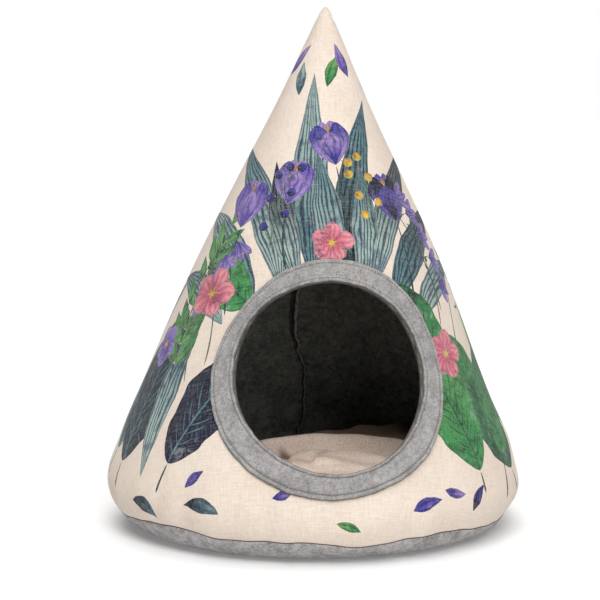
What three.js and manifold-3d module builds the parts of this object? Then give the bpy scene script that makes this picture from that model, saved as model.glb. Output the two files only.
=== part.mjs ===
// A cat teepee: a felt cone with a printed cloth cover, a round doorway with a
// stitched felt facing, a dished felt base and a loose round cushion inside.
// Millimetres, +Z up. The origin is on the floor under the middle of the cone, and
// the doorway faces -Y. Angles round the cone run anticlockwise from +X.
import * as THREE from 'three';
import Module from 'manifold-3d';

const wasm = await Module();
wasm.setup();

const degrees = THREE.MathUtils.degToRad;

// Driving dimensions of the cone
const TOTAL_HEIGHT = 500;
const WIDEST_RADIUS = 200;
const WIDEST_HEIGHT = 44;
const FLOOR_RADIUS = 150;
const DOOR_ANGLE = -90;
const DOOR_HEIGHT = 167;
const BACK_SEAM_ANGLE = 90;

// The cone stands a little askew on its base: it leans towards +X
const LEAN = 1.5;

// Cloth thicknesses, and the small gap that lies between two pieces
const GAP = 0.4;
const RING_GAP = 0.6;
const COVER_THICKNESS = 1;
const FELT_THICKNESS = 3;
const LINING_DEPTH = COVER_THICKNESS + GAP;
const WALL_THICKNESS = LINING_DEPTH + FELT_THICKNESS;
const RING_THICKNESS = 4;
const RING_ROUNDING = 1.3;
const DOOR_EDGE_SETBACK = 1;

// At the tip of the cone the layers are this many times as thick
const TIP_THICKENING = 2;

// How the facets are laid out
const COLUMNS = 48;
const RING_STEPS = 56;
const RING_BANDS = 4;
const SKIRT_STEPS = 2;
const BASE_RIM_STEPS = 4;

// The side wall of the cone: nearly straight, a little full in the middle
const WALL_STATIONS = [
  { height: WIDEST_HEIGHT, radius: WIDEST_RADIUS },
  { height: 80, radius: 190.4 },
  { height: 135, radius: 167.8 },
  { height: 204, radius: 140 },
  { height: 272, radius: 110.3 },
  { height: 341, radius: 77.4 },
  { height: 410, radius: 43.4 },
  { height: 465, radius: 18.8 },
  { height: 490, radius: 7.4 },
  { height: TOTAL_HEIGHT, radius: 3 },
];
const WALL_ROWS = [44, 58, 80, 110, 148, 192, 242, 298, 354, 410, 458, 490];

// The seam between cover and base rises and falls as it goes round, and the skirt
// above it stands out or draws in with it
const HEM_STATIONS = [
  { angle: -180, height: 20, out: 0.4 },
  { angle: -160, height: 18, out: 1.2 },
  { angle: -137, height: 23.5, out: -1.4 },
  { angle: -120, height: 19.5, out: 1 },
  { angle: -98, height: 22, out: -0.6 },
  { angle: -81, height: 18.5, out: 1.2 },
  { angle: -66, height: 24.5, out: -0.8 },
  { angle: -52, height: 26.5, out: -1.6 },
  { angle: -30, height: 22.5, out: 0.6 },
  { angle: -5, height: 21, out: 0.2 },
  { angle: 18, height: 23.5, out: -1 },
  { angle: 42, height: 20, out: 0.6 },
  { angle: 66, height: 23, out: -0.8 },
  { angle: 92, height: 21.5, out: 1.2 },
  { angle: 118, height: 24, out: -0.6 },
  { angle: 142, height: 20.5, out: 0.8 },
  { angle: 162, height: 22, out: -0.4 },
  { angle: 180, height: 20, out: 0.4 },
];
const SKIRT_FADE = 55;

// Soft swells and hollows of the wall
const WALL_SWELLS = [
  { angle: -140, height: 230, spread: 26, rise: 90, out: 1.2 },
  { angle: -42, height: 205, spread: 22, rise: 80, out: 1.5 },
  { angle: -90, height: 330, spread: 30, rise: 60, out: -1 },
  { angle: -175, height: 76, spread: 22, rise: 24, out: -1.5 },
  { angle: -9, height: 90, spread: 20, rise: 20, out: 2 },
  { angle: -8, height: 165, spread: 24, rise: 40, out: -1 },
  { angle: -4, height: 270, spread: 24, rise: 50, out: 1 },
  { angle: 35, height: 170, spread: 24, rise: 90, out: 1.4 },
  { angle: 90, height: 240, spread: 14, rise: 160, out: -1.6 },
  { angle: 140, height: 200, spread: 24, rise: 90, out: 1.2 },
];

// The doorway facing, laid flat: how far its two edges are from the middle of the
// doorway. The turn is clockwise from the top, seen from in front
const RING_STATIONS = [
  { turn: -180, outer: 112.3, inner: 89.5 },
  { turn: -135, outer: 112, inner: 86.5 },
  { turn: -85, outer: 113.5, inner: 91 },
  { turn: -48, outer: 107.5, inner: 92.5 },
  { turn: -22, outer: 108.5, inner: 89 },
  { turn: 5, outer: 110, inner: 88.8 },
  { turn: 43, outer: 112, inner: 91 },
  { turn: 68, outer: 109.8, inner: 90 },
  { turn: 90, outer: 111, inner: 89 },
  { turn: 120, outer: 112.5, inner: 87.2 },
  { turn: 160, outer: 110.5, inner: 89 },
  { turn: 180, outer: 112.3, inner: 89.5 },
];

// The allowance of the lining's back seam stands inwards as a crinkled ridge
const RIDGE_HEIGHT = 8;
const RIDGE_HALF_FOOT = 4.5;
const RIDGE_HALF_TOP = 1.8;
const RIDGE_FULL_BELOW = 400;
const RIDGE_ENDS_AT = 455;
const RIDGE_WIDEST_TURN = 5;
const RIDGE_STATIONS = [
  { height: 0, aside: 0 },
  { height: 60, aside: -2 },
  { height: 85, aside: 3 },
  { height: 150, aside: 3 },
  { height: 165, aside: -1 },
  { height: 185, aside: -4 },
  { height: 240, aside: -2 },
  { height: 320, aside: 1 },
  { height: TOTAL_HEIGHT, aside: 0 },
];

// The loose cushion
const CUSHION_RADIUS = 174;
const CUSHION_FLOOR_RADIUS = 146;
const CUSHION_TOP = 74;
const CUSHION_SEAM_HEIGHT = 34;
const CUSHION_UNDERSIDE_HEIGHT = 16;
const CUSHION_UNDERSIDE_RADIUS = 163;
const CUSHION_CROWN_ROWS = 6;
const CROWN_FULLNESS = 3.2;
const CUSHION_PUCKERS = 12;
const PUCKER_DEPTH = 1.6;
const PUCKER_UNEVENNESS = 0.4;
const CUSHION_SWELLS = [
  { x: -31, y: -62, reach: 20, rise: -9 },
  { x: 12, y: -108, reach: 46, rise: 4 },
  { x: -60, y: 125, reach: 60, rise: -11 },
  { x: 88, y: 105, reach: 55, rise: 13 },
  { x: 25, y: 30, reach: 50, rise: -3 },
  { x: -110, y: -20, reach: 45, rise: 3 },
];

// A smooth curve through one column of a table, against another column
function smoothColumn(table, against, column, ends) {
  const places = Float32Array.from(table, (row) => row[against]);
  const values = Float32Array.from(table, (row) => row[column]);
  const curve = new THREE.CubicInterpolant(places, values, 1);
  curve.settings = ends;
  return (place) => curve.evaluate(place)[0];
}

const roundAndRound = { endingStart: THREE.WrapAroundEnding, endingEnd: THREE.WrapAroundEnding };
const uprightAtFoot = { endingStart: THREE.ZeroSlopeEnding, endingEnd: THREE.ZeroCurvatureEnding };
const levelEnds = { endingStart: THREE.ZeroSlopeEnding, endingEnd: THREE.ZeroSlopeEnding };

const upperRadius = smoothColumn(WALL_STATIONS, 'height', 'radius', uprightAtFoot);
const hemHeight = smoothColumn(HEM_STATIONS, 'angle', 'height', roundAndRound);
const hemOut = smoothColumn(HEM_STATIONS, 'angle', 'out', roundAndRound);
const ringOuter = smoothColumn(RING_STATIONS, 'turn', 'outer', roundAndRound);
const ringInner = smoothColumn(RING_STATIONS, 'turn', 'inner', roundAndRound);
const ridgeAside = smoothColumn(RIDGE_STATIONS, 'height', 'aside', levelEnds);

// An angle or turn brought into the range of the tables
function wrapped(angle) {
  return THREE.MathUtils.euclideanModulo(angle + 180, 360) - 180;
}

function bell(distance) {
  return Math.exp(-distance * distance);
}

// The even profile of the outside: an elliptical lower edge, then the side wall
function evenRadius(height) {
  if (height >= WIDEST_HEIGHT) return upperRadius(height);
  const below = 1 - height / WIDEST_HEIGHT;
  return FLOOR_RADIUS + (WIDEST_RADIUS - FLOOR_RADIUS) * Math.sqrt(1 - below * below);
}

// How far the cloth stands outside the even profile
function unevenness(angle, height) {
  const aboveFloor = THREE.MathUtils.smoothstep(height, 0, hemHeight(wrapped(angle)));
  let out = hemOut(wrapped(angle)) * aboveFloor * bell((height - WIDEST_HEIGHT) / SKIRT_FADE);
  for (const swell of WALL_SWELLS) {
    const sideways = wrapped(angle - swell.angle) / swell.spread;
    out += swell.out * bell(sideways) * bell((height - swell.height) / swell.rise);
  }
  return out;
}

// A point of the wall, so deep under its outside, measured square to the even profile
function wallPoint(angle, height, depth) {
  const step = 0.05;
  const low = Math.max(0, height - step);
  const high = height + step;
  const slope = (evenRadius(high) - evenRadius(low)) / (high - low);
  const length = Math.hypot(1, slope);
  const radius = evenRadius(height) + unevenness(angle, height) - depth / length;
  const turn = degrees(angle);
  const level = height + depth * slope / length;
  const point = new THREE.Vector3(radius * Math.cos(turn), radius * Math.sin(turn), level);
  return leaned(point, THREE.MathUtils.smoothstep(height, 0, hemHeight(wrapped(angle))));
}

// A point swung sideways with the cone, about the middle of its widest level
function leaned(point, share = 1) {
  const middle = new THREE.Vector3(0, 0, WIDEST_HEIGHT);
  const across = new THREE.Vector3(0, 1, 0);
  return point.sub(middle).applyAxisAngle(across, degrees(LEAN * share)).add(middle);
}

// A point on a sheet laid flat over the doorway, wrapped back round the cone
function doorPoint(turn, reach, lift) {
  const slopeSpan = 30;
  const drop = evenRadius(DOOR_HEIGHT - slopeSpan) - evenRadius(DOOR_HEIGHT + slopeSpan);
  const lean = Math.atan2(drop, 2 * slopeSpan);
  const toTip = evenRadius(DOOR_HEIGHT) / Math.sin(lean);
  const right = reach * Math.sin(degrees(turn));
  const up = reach * Math.cos(degrees(turn));
  const distance = Math.hypot(toTip - up, right);
  const swing = Math.atan2(right, toTip - up) / Math.sin(lean);
  const height = DOOR_HEIGHT + (toTip - distance) * Math.cos(lean);
  return wallPoint(DOOR_ANGLE + THREE.MathUtils.radToDeg(swing), height, -lift);
}

// The columns of the wall at one height: even steps, with four close columns that
// carry the ridge of the back seam
function columnAngles(height) {
  const widest = RIDGE_WIDEST_TURN / (RIDGE_HALF_FOOT + Math.abs(ridgeAside(height)));
  const perMillimetre = Math.min(THREE.MathUtils.radToDeg(1 / evenRadius(height)), widest);
  const offsets = [-RIDGE_HALF_FOOT, -RIDGE_HALF_TOP, RIDGE_HALF_TOP, RIDGE_HALF_FOOT];
  const angles = offsets.map((offset) => BACK_SEAM_ANGLE + (offset - ridgeAside(height)) * perMillimetre);
  for (let i = 1; i < COLUMNS; i++) angles.push(BACK_SEAM_ANGLE + i * 360 / COLUMNS);
  return angles;
}

function ridgeInwards(height, column) {
  const onTop = column === 1 || column === 2;
  const full = 1 - THREE.MathUtils.smoothstep(height, RIDGE_FULL_BELOW, RIDGE_ENDS_AT);
  return onTop ? RIDGE_HEIGHT * full : 0;
}

// A closed surface through rows of points. Each row runs anticlockwise, seen from
// where the surface ends, and joins the next; the ends close on a point, or meet
function closedSurface(rows, startTip, endTip) {
  const positions = [];
  const triangles = [];
  // The number of the point that was just added
  const add = (point) => positions.push(point.x, point.y, point.z) / 3 - 1;
  const numbered = rows.map((row) => row.map(add));
  const heightOf = (number) => positions[3 * number + 2];
  // Rising and falling rows are split along the same diagonal, so that the faces of
  // two layers that lie on each other stay parallel
  const join = (lower, upper) => {
    const falling = heightOf(lower[0]) > heightOf(upper[0]);
    lower.forEach((here, i) => {
      const next = (i + 1) % lower.length;
      if (falling) {
        triangles.push(here, lower[next], upper[i], lower[next], upper[next], upper[i]);
      } else {
        triangles.push(here, lower[next], upper[next], here, upper[next], upper[i]);
      }
    });
  };
  for (let i = 0; i + 1 < numbered.length; i++) join(numbered[i], numbered[i + 1]);
  const first = numbered[0];
  const last = numbered[numbered.length - 1];
  if (!startTip) {
    join(last, first);
    return toSolid(positions, triangles);
  }
  const start = add(startTip);
  const end = add(endTip);
  first.forEach((here, i) => triangles.push(start, first[(i + 1) % first.length], here));
  last.forEach((here, i) => triangles.push(here, last[(i + 1) % last.length], end));
  return toSolid(positions, triangles);
}

function toSolid(positions, triangles) {
  return new wasm.Manifold(new wasm.Mesh({
    numProp: 3,
    vertProperties: Float32Array.from(positions),
    triVerts: Uint32Array.from(triangles),
  }));
}

function toGeometry(solid) {
  const mesh = solid.getMesh();
  const geometry = new THREE.BufferGeometry();
  geometry.setAttribute('position', new THREE.BufferAttribute(Float32Array.from(mesh.vertProperties), 3));
  geometry.setIndex(new THREE.BufferAttribute(Uint32Array.from(mesh.triVerts), 1));
  return geometry;
}

// One layer of the wall between two depths, from the hem to a closed tip
function wallLayer(outerDepth, innerDepth, inwards) {
  const surfaceRows = (depth, extra) => {
    const rows = [];
    for (let i = 0; i < SKIRT_STEPS; i++) {
      const up = i / SKIRT_STEPS;
      rows.push(columnAngles(WIDEST_HEIGHT).map((angle, column) => {
        const hem = hemHeight(wrapped(angle)) + GAP / 2;
        const height = THREE.MathUtils.lerp(hem, WIDEST_HEIGHT, up);
        return wallPoint(angle, height, depth + extra(height, column));
      }));
    }
    for (const height of WALL_ROWS) {
      rows.push(columnAngles(height).map((angle, column) => (
        wallPoint(angle, height, depth + extra(height, column))
      )));
    }
    return rows;
  };
  const tip = (depth) => leaned(new THREE.Vector3(0, 0, TOTAL_HEIGHT - TIP_THICKENING * depth));
  const inside = surfaceRows(innerDepth, inwards).reverse();
  const outside = surfaceRows(outerDepth, () => 0);
  return closedSurface([...inside, ...outside], tip(innerDepth), tip(outerDepth));
}

// What is cut out of the wall for the doorway, a little wider than the facing's hole
function doorCutter() {
  const through = 14;
  const edge = (lift) => ringTurns().map((turn) => (
    doorPoint(turn, ringInner(turn) + DOOR_EDGE_SETBACK, lift)
  ));
  return closedSurface([edge(-through), edge(through)], doorPoint(0, 0, -through), doorPoint(0, 0, through));
}

function ringTurns() {
  return Array.from({ length: RING_STEPS }, (_, i) => wrapped(-i * 360 / RING_STEPS));
}

function cover() {
  return wallLayer(0, COVER_THICKNESS, () => 0).subtract(doorCutter());
}

function lining() {
  return wallLayer(LINING_DEPTH, WALL_THICKNESS, ridgeInwards).subtract(doorCutter());
}

// The facing lies on the cover, with softly rounded edges
function entranceRing() {
  const row = (across, lift) => ringTurns().map((turn) => {
    const reach = THREE.MathUtils.lerp(ringInner(turn), ringOuter(turn), across);
    return doorPoint(turn, reach, RING_GAP + lift);
  });
  const rows = [];
  for (let i = 0; i <= RING_BANDS; i++) rows.push(row(i / RING_BANDS, 0));
  for (let i = RING_BANDS; i >= 0; i--) {
    const edge = i === 0 || i === RING_BANDS;
    rows.push(row(i / RING_BANDS, RING_THICKNESS - (edge ? RING_ROUNDING : 0)));
  }
  return closedSurface(rows);
}

// The base is flat on the floor and turns up to the seam, where its edge meets the
// edges of the cover and the lining
function base() {
  const angles = columnAngles(WIDEST_HEIGHT);
  const rimRow = (way, depth) => angles.map((angle) => {
    const seam = hemHeight(wrapped(angle)) - GAP / 2;
    const fullTurn = Math.acos(1 - seam / WIDEST_HEIGHT);
    const height = WIDEST_HEIGHT * (1 - Math.cos(fullTurn * way));
    return wallPoint(angle, height, depth);
  });
  const flatRow = (radius, height) => angles.map((angle) => (
    new THREE.Vector3(radius * Math.cos(degrees(angle)), radius * Math.sin(degrees(angle)), height)
  ));
  const outside = [];
  const inside = [];
  for (let i = 1; i <= BASE_RIM_STEPS; i++) {
    outside.push(rimRow(i / BASE_RIM_STEPS, 0));
    inside.unshift(rimRow(i / BASE_RIM_STEPS, WALL_THICKNESS));
  }
  const rows = [flatRow(FLOOR_RADIUS, 0), ...outside, ...inside, flatRow(FLOOR_RADIUS, WALL_THICKNESS)];
  return closedSurface(rows, new THREE.Vector3(0, 0, 0), new THREE.Vector3(0, 0, WALL_THICKNESS));
}

function cushionSwell(x, y) {
  let rise = 0;
  for (const swell of CUSHION_SWELLS) {
    rise += swell.rise * bell(Math.hypot(x - swell.x, y - swell.y) / swell.reach);
  }
  return rise;
}

// The edge seam of the cushion is drawn in at its puckers
function cushionEdge(angle) {
  const drawnIn = PUCKER_DEPTH * (1 + Math.cos(degrees(angle * CUSHION_PUCKERS)));
  return CUSHION_RADIUS - drawnIn * (1 + PUCKER_UNEVENNESS * Math.sin(degrees(angle * 2)));
}

// A round cushion: a flat spot below, sides drawn in to the edge seam and a full crown
function cushion() {
  const bottom = WALL_THICKNESS + GAP;
  const angles = Array.from({ length: COLUMNS }, (_, i) => i * 360 / COLUMNS);
  const row = (radius, heightAt) => angles.map((angle) => {
    const share = radius / CUSHION_RADIUS;
    const x = cushionEdge(angle) * share * Math.cos(degrees(angle));
    const y = cushionEdge(angle) * share * Math.sin(degrees(angle));
    return new THREE.Vector3(x, y, heightAt(x, y));
  });
  const crownRow = (share) => row(CUSHION_RADIUS * share, (x, y) => {
    const full = Math.sqrt(1 - Math.pow(share, CROWN_FULLNESS));
    return CUSHION_SEAM_HEIGHT + full * (CUSHION_TOP - CUSHION_SEAM_HEIGHT + cushionSwell(x, y));
  });
  const rows = [
    row(CUSHION_FLOOR_RADIUS / 2, () => bottom),
    row(CUSHION_FLOOR_RADIUS, () => bottom),
    row(CUSHION_UNDERSIDE_RADIUS, () => CUSHION_UNDERSIDE_HEIGHT),
    row(CUSHION_RADIUS, () => CUSHION_SEAM_HEIGHT),
  ];
  for (let i = 1; i <= CUSHION_CROWN_ROWS; i++) {
    rows.push(crownRow(Math.cos(i / (CUSHION_CROWN_ROWS + 1) * Math.PI / 2)));
  }
  const top = CUSHION_TOP + cushionSwell(0, 0);
  return closedSurface(rows, new THREE.Vector3(0, 0, bottom), new THREE.Vector3(0, 0, top));
}

function cloth(name, solid, colour) {
  const material = new THREE.MeshStandardMaterial({ color: colour, roughness: 0.95, metalness: 0 });
  const mesh = new THREE.Mesh(toGeometry(solid), material);
  mesh.name = name;
  return mesh;
}

const teepee = new THREE.Group();
teepee.add(cloth('cover', cover(), 0xe9dfd2));
teepee.add(cloth('lining', lining(), 0x24262a));
teepee.add(cloth('entrance_ring', entranceRing(), 0x9b9da1));
teepee.add(cloth('base', base(), 0x8b8d91));
teepee.add(cloth('cushion', cushion(), 0xe8dccd));

export default teepee;
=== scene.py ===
# The looks of a cat teepee: a felt cone with a printed cloth cover, a round doorway
# with a stitched felt facing, a felt base and a loose plush cushion inside.
import math

import bpy
import numpy as np
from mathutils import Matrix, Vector
from mathutils.geometry import delaunay_2d_cdt


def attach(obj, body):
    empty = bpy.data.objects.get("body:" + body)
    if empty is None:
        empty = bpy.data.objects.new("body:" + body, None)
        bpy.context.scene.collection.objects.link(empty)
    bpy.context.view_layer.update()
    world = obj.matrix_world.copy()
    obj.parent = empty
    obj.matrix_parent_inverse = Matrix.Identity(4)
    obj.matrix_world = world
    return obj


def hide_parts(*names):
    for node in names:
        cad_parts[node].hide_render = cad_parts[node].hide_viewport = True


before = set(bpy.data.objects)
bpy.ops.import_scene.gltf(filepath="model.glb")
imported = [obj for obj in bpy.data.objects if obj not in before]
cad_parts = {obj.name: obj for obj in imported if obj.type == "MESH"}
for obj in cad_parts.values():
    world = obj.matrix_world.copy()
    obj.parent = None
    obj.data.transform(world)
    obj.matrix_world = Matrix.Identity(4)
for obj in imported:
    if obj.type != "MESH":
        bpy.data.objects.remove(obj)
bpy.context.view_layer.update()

# Lengths below are millimetres and become metres when a mesh is made. Angles run
# anticlockwise from +X; a turn is counted from the doorway, positive towards +X.
MM = 0.001

# Driving dimensions of the cone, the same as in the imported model
TOTAL_HEIGHT = 500
WIDEST_RADIUS = 200
WIDEST_HEIGHT = 44
FLOOR_RADIUS = 150
DOOR_ANGLE = -90
DOOR_HEIGHT = 167
LEAN = 1.5
GAP = 0.4
COVER_THICKNESS = 1
LINING_DEPTH = COVER_THICKNESS + GAP
WALL_THICKNESS = LINING_DEPTH + 3
RING_GAP = 0.6
RING_THICKNESS = 4
DOOR_EDGE_SETBACK = 1
SKIRT_FADE = 55
TIP_ROUNDS_FROM = 490
# From here up the inner sheets end lower than the outer one
TIP_ZONE = 440

# Height and radius of the side wall
WALL_STATIONS = [
    (WIDEST_HEIGHT, WIDEST_RADIUS), (80, 190.4), (135, 167.8), (204, 140), (272, 110.3),
    (341, 77.4), (410, 43.4), (465, 18.8), (490, 7.4), (TOTAL_HEIGHT, 3),
]

# Angle, height of the seam between cover and base, and how far the skirt stands out
HEM_STATIONS = [
    (-180, 20, 0.4), (-160, 18, 1.2), (-137, 23.5, -1.4), (-120, 19.5, 1), (-98, 22, -0.6),
    (-81, 18.5, 1.2), (-66, 24.5, -0.8), (-52, 26.5, -1.6), (-30, 22.5, 0.6), (-5, 21, 0.2),
    (18, 23.5, -1), (42, 20, 0.6), (66, 23, -0.8), (92, 21.5, 1.2), (118, 24, -0.6),
    (142, 20.5, 0.8), (162, 22, -0.4), (180, 20, 0.4),
]

# Angle, height, spread in degrees, rise and outward size of soft swells of the wall
WALL_SWELLS = [
    (-140, 230, 26, 90, 1.2), (-42, 205, 22, 80, 1.5), (-90, 330, 30, 60, -1),
    (-175, 76, 22, 24, -1.5), (-9, 90, 20, 20, 2), (-8, 165, 24, 40, -1),
    (-4, 270, 24, 50, 1), (35, 170, 24, 90, 1.4), (90, 240, 14, 160, -1.6),
    (140, 200, 24, 90, 1.2),
]

# Turn, outer and inner reach of the doorway facing, laid flat
RING_STATIONS = [
    (-180, 112.3, 89.5), (-135, 112, 86.5), (-85, 113.5, 91), (-48, 107.5, 92.5),
    (-22, 108.5, 89), (5, 110, 88.8), (43, 112, 91), (68, 109.8, 90), (90, 111, 89),
    (120, 112.5, 87.2), (160, 110.5, 89), (180, 112.3, 89.5),
]

# The narrow creases that run up the cover from its hem, in the same columns. The last
# one tucks the skirt in under a sharper corner on the right.
CREASES = [
    (-107, 40, 2.6, 30, -1.7), (-101.5, 44, 3.2, 34, 1.2), (-131, 52, 3.0, 36, -0.9),
    (-136, 46, 3.4, 30, 0.7), (-69, 34, 2.4, 22, -0.9), (-64, 38, 3.0, 26, 0.6),
    (-38, 44, 3.4, 30, -0.8), (-86, 30, 2.6, 20, 0.5), (-18, 46, 3.0, 26, 0.6),
    (2, 24, 42, 15, -7),
]

# Waves that run round the cone: how many, their size and where they start
RIPPLES = [(17, 0.45, 0.4), (29, 0.3, 2.1), (43, 0.18, 4.0)]
RIPPLE_MIDDLE = 24
RIPPLE_FADE = 38
HEM_WAVES = [(19, 0.4, 1), (37, 0.3, 2)]
# The seam dips at the front right: angle, spread in degrees and depth
HEM_DIP = (-37, 15, 2.8)

# The seam up the back of the cone draws the cloth in a little as it goes, and ends
# below the tip
BACK_SEAM_DEPTH = 0.8
BACK_SEAM_HALF_WIDTH = 2.2
BACK_SEAM_ENDS = (500, 455)
PUCKER_LENGTH = 19
PUCKER_DEPTH = 0.5
PUCKER_REACH = 11

# How finely the sheets are divided, and how much closer than wide their rows lie
PATTERN_STEP = 5.5
INNER_STEP = 9
EDGE_STEP = 3
ROW_SPACING = 0.866
# The space that the flat pattern takes up to each side of the tip and below it
PATTERN_HALF_WIDTH = 520
PATTERN_DEPTH = 560


# Curves and surfaces

def smooth_curve(stations, column, ends):
    """A smooth curve through one column of a table, whose first column is the place."""
    places = np.array([row[0] for row in stations], float)
    values = np.array([row[column] for row in stations], float)
    slopes = np.diff(values) / np.diff(places)
    before, after = slopes[0], slopes[-1]
    if ends == "round":
        before, after = slopes[-1], slopes[0]
    if ends == "upright":
        before = -slopes[0]
    at = (np.append(before, slopes) + np.append(slopes, after)) / 2

    def curve(place):
        i = np.clip(np.searchsorted(places, place, side="right") - 1, 0, len(slopes) - 1)
        span = places[i + 1] - places[i]
        p = np.clip((place - places[i]) / span, 0, 1)
        rest = 1 - p
        ends_part = values[i] * (1 + 2 * p) * rest**2 + values[i + 1] * (3 - 2 * p) * p**2
        return ends_part + span * (at[i] * p * rest**2 - at[i + 1] * p**2 * rest)

    return curve


upper_radius = smooth_curve(WALL_STATIONS, 1, "upright")
even_hem_height = smooth_curve(HEM_STATIONS, 1, "round")
hem_out = smooth_curve(HEM_STATIONS, 2, "round")
ring_outer = smooth_curve(RING_STATIONS, 1, "round")
ring_inner = smooth_curve(RING_STATIONS, 2, "round")


def wrapped(angle):
    """The same angle between -180 and 180."""
    return np.mod(np.asarray(angle, float) + 180, 360) - 180


def bell(distance):
    return np.exp(-np.square(distance))


def smoothstep(value, low, high):
    """From 0 at the low end to 1 at the high end."""
    share = np.clip((value - low) / (high - low), 0, 1)
    return share * share * (3 - 2 * share)


def waves(table, angle):
    return sum(size * np.sin(np.radians(angle * count) + start) for count, size, start in table)


def swells(table, angle, height):
    out = np.zeros(np.broadcast(angle, height).shape)
    for at, middle, spread, rise, size in table:
        out = out + size * bell(wrapped(angle - at) / spread) * bell((height - middle) / rise)
    return out


def hem_height(angle):
    """The seam's height, with the small unevenness of its sewing."""
    at, spread, depth = HEM_DIP
    dip = depth * bell((np.asarray(angle) - at) / spread)
    return even_hem_height(angle) + waves(HEM_WAVES, angle) - dip


def even_radius(height):
    """The even profile of the outside: elliptical edge, side wall and blunt tip."""
    height = np.asarray(height, float)
    below = 1 - np.minimum(height, WIDEST_HEIGHT) / WIDEST_HEIGHT
    edge = FLOOR_RADIUS + (WIDEST_RADIUS - FLOOR_RADIUS) * np.sqrt(1 - below**2)
    tip = np.clip((height - TIP_ROUNDS_FROM) / (TOTAL_HEIGHT - TIP_ROUNDS_FROM), 0, 1)
    wall = upper_radius(np.maximum(height, WIDEST_HEIGHT)) * np.sqrt(1 - tip**4)
    return np.where(height < WIDEST_HEIGHT, edge, wall)


def creases(angle, height):
    """The narrow creases and ripples near the hem, and the puckers of the back seam."""
    ripples = waves(RIPPLES, angle) * bell((height - RIPPLE_MIDDLE) / RIPPLE_FADE)
    from_seam = np.radians(wrapped(angle - DOOR_ANGLE - 180)) * even_radius(height)
    along = np.sin(2 * math.pi * height / PUCKER_LENGTH + 1.3 * np.sin(height / 31))
    pucker = PUCKER_DEPTH * along * bell(from_seam / PUCKER_REACH)
    groove = BACK_SEAM_DEPTH * bell(from_seam / BACK_SEAM_HALF_WIDTH)
    seam = (pucker - groove) * smoothstep(height, *BACK_SEAM_ENDS)
    return swells(CREASES, angle, height) + ripples + seam


def unevenness(angle, height):
    """How far the outside stands out from its even profile."""
    skirt = hem_out(wrapped(angle)) * bell((height - WIDEST_HEIGHT) / SKIRT_FADE)
    above_floor = smoothstep(height, 0, hem_height(wrapped(angle)))
    return swells(WALL_SWELLS, angle, height) + (skirt + creases(angle, height)) * above_floor


def circle(radius, height, turn):
    """Points round the axis; the turn is in radians here."""
    return np.stack([radius * np.cos(turn), radius * np.sin(turn), height + 0 * turn], -1)


def leaned(points, share):
    """Swings points sideways with the cone, about the middle of its widest level."""
    swing = np.radians(LEAN * share)
    x, y, z = points[..., 0], points[..., 1], points[..., 2] - WIDEST_HEIGHT
    across = x * np.cos(swing) + z * np.sin(swing)
    up = z * np.cos(swing) - x * np.sin(swing)
    return np.stack([across, y, up + WIDEST_HEIGHT], -1)


def wall_point(angle, height, depth):
    """Points of the wall, so deep under its outside."""
    values = [np.asarray(value, float) for value in (angle, height, depth)]
    angle, height, depth = np.broadcast_arrays(*values)
    step = 0.05
    low = np.maximum(0, height - step)
    high = np.minimum(TOTAL_HEIGHT, height + step)
    slope = (even_radius(high) - even_radius(low)) / (high - low)
    length = np.hypot(1, slope)
    radius = np.maximum(even_radius(height) + unevenness(angle, height) - depth / length, 0.02)
    points = circle(radius, height + depth * slope / length, np.radians(angle))
    return leaned(points, smoothstep(height, 0, hem_height(wrapped(angle))))


# The doorway is drawn on a sheet laid over the wall
DOOR_SLOPE_SPAN = 30
DOOR_DROP = even_radius(DOOR_HEIGHT - DOOR_SLOPE_SPAN) - even_radius(DOOR_HEIGHT + DOOR_SLOPE_SPAN)
DOOR_LEAN = math.atan2(DOOR_DROP, 2 * DOOR_SLOPE_SPAN)
DOOR_TO_TIP = float(even_radius(DOOR_HEIGHT)) / math.sin(DOOR_LEAN)


def door_place(turn, reach):
    """Angle and height on the wall of a point that lies so far from the doorway's middle."""
    right = reach * np.sin(np.radians(turn))
    up = reach * np.cos(np.radians(turn))
    distance = np.hypot(DOOR_TO_TIP - up, right)
    swing = np.arctan2(right, DOOR_TO_TIP - up) / math.sin(DOOR_LEAN)
    height = DOOR_HEIGHT + (DOOR_TO_TIP - distance) * math.cos(DOOR_LEAN)
    return DOOR_ANGLE + np.degrees(swing), height


def door_point(turn, reach, lift):
    """A point so high over the sheet."""
    angle, height = door_place(turn, reach)
    return wall_point(angle, height, -np.asarray(lift, float))


# The flat pattern that the cover is cut from: a sector with the tip at the origin and
# the doorway straight below it, which keeps lengths up the cone

def meridian():
    """Heights from the tip down, and the length of cloth from the tip to each."""
    step, lowest = 0.25, 8
    tip = TOTAL_HEIGHT - (TOTAL_HEIGHT - TIP_ROUNDS_FROM) * np.linspace(0, 1, 400) ** 2
    heights = np.concatenate([tip, np.arange(TIP_ROUNDS_FROM - step, lowest, -step)])
    steps = np.hypot(np.diff(heights), np.diff(even_radius(heights)))
    return heights, np.append(0, np.cumsum(steps))


HEIGHTS, LENGTHS = meridian()
DOOR_LENGTH = float(np.interp(-DOOR_HEIGHT, -HEIGHTS, LENGTHS))
TURN_SHARE = float(even_radius(DOOR_HEIGHT)) / DOOR_LENGTH


def to_flat(turn, height):
    """Where a place on the cone lies in the flat pattern."""
    length = np.interp(-np.asarray(height, float), -HEIGHTS, LENGTHS)
    swing = np.radians(turn) * TURN_SHARE
    return np.stack([length * np.sin(swing), -length * np.cos(swing)], -1)


def from_flat(points):
    """The turn and height on the cone of points of the flat pattern."""
    length = np.hypot(points[..., 0], points[..., 1])
    turn = np.degrees(np.arctan2(points[..., 0], -points[..., 1])) / TURN_SHARE
    return turn, np.interp(length, LENGTHS, HEIGHTS)


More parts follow.
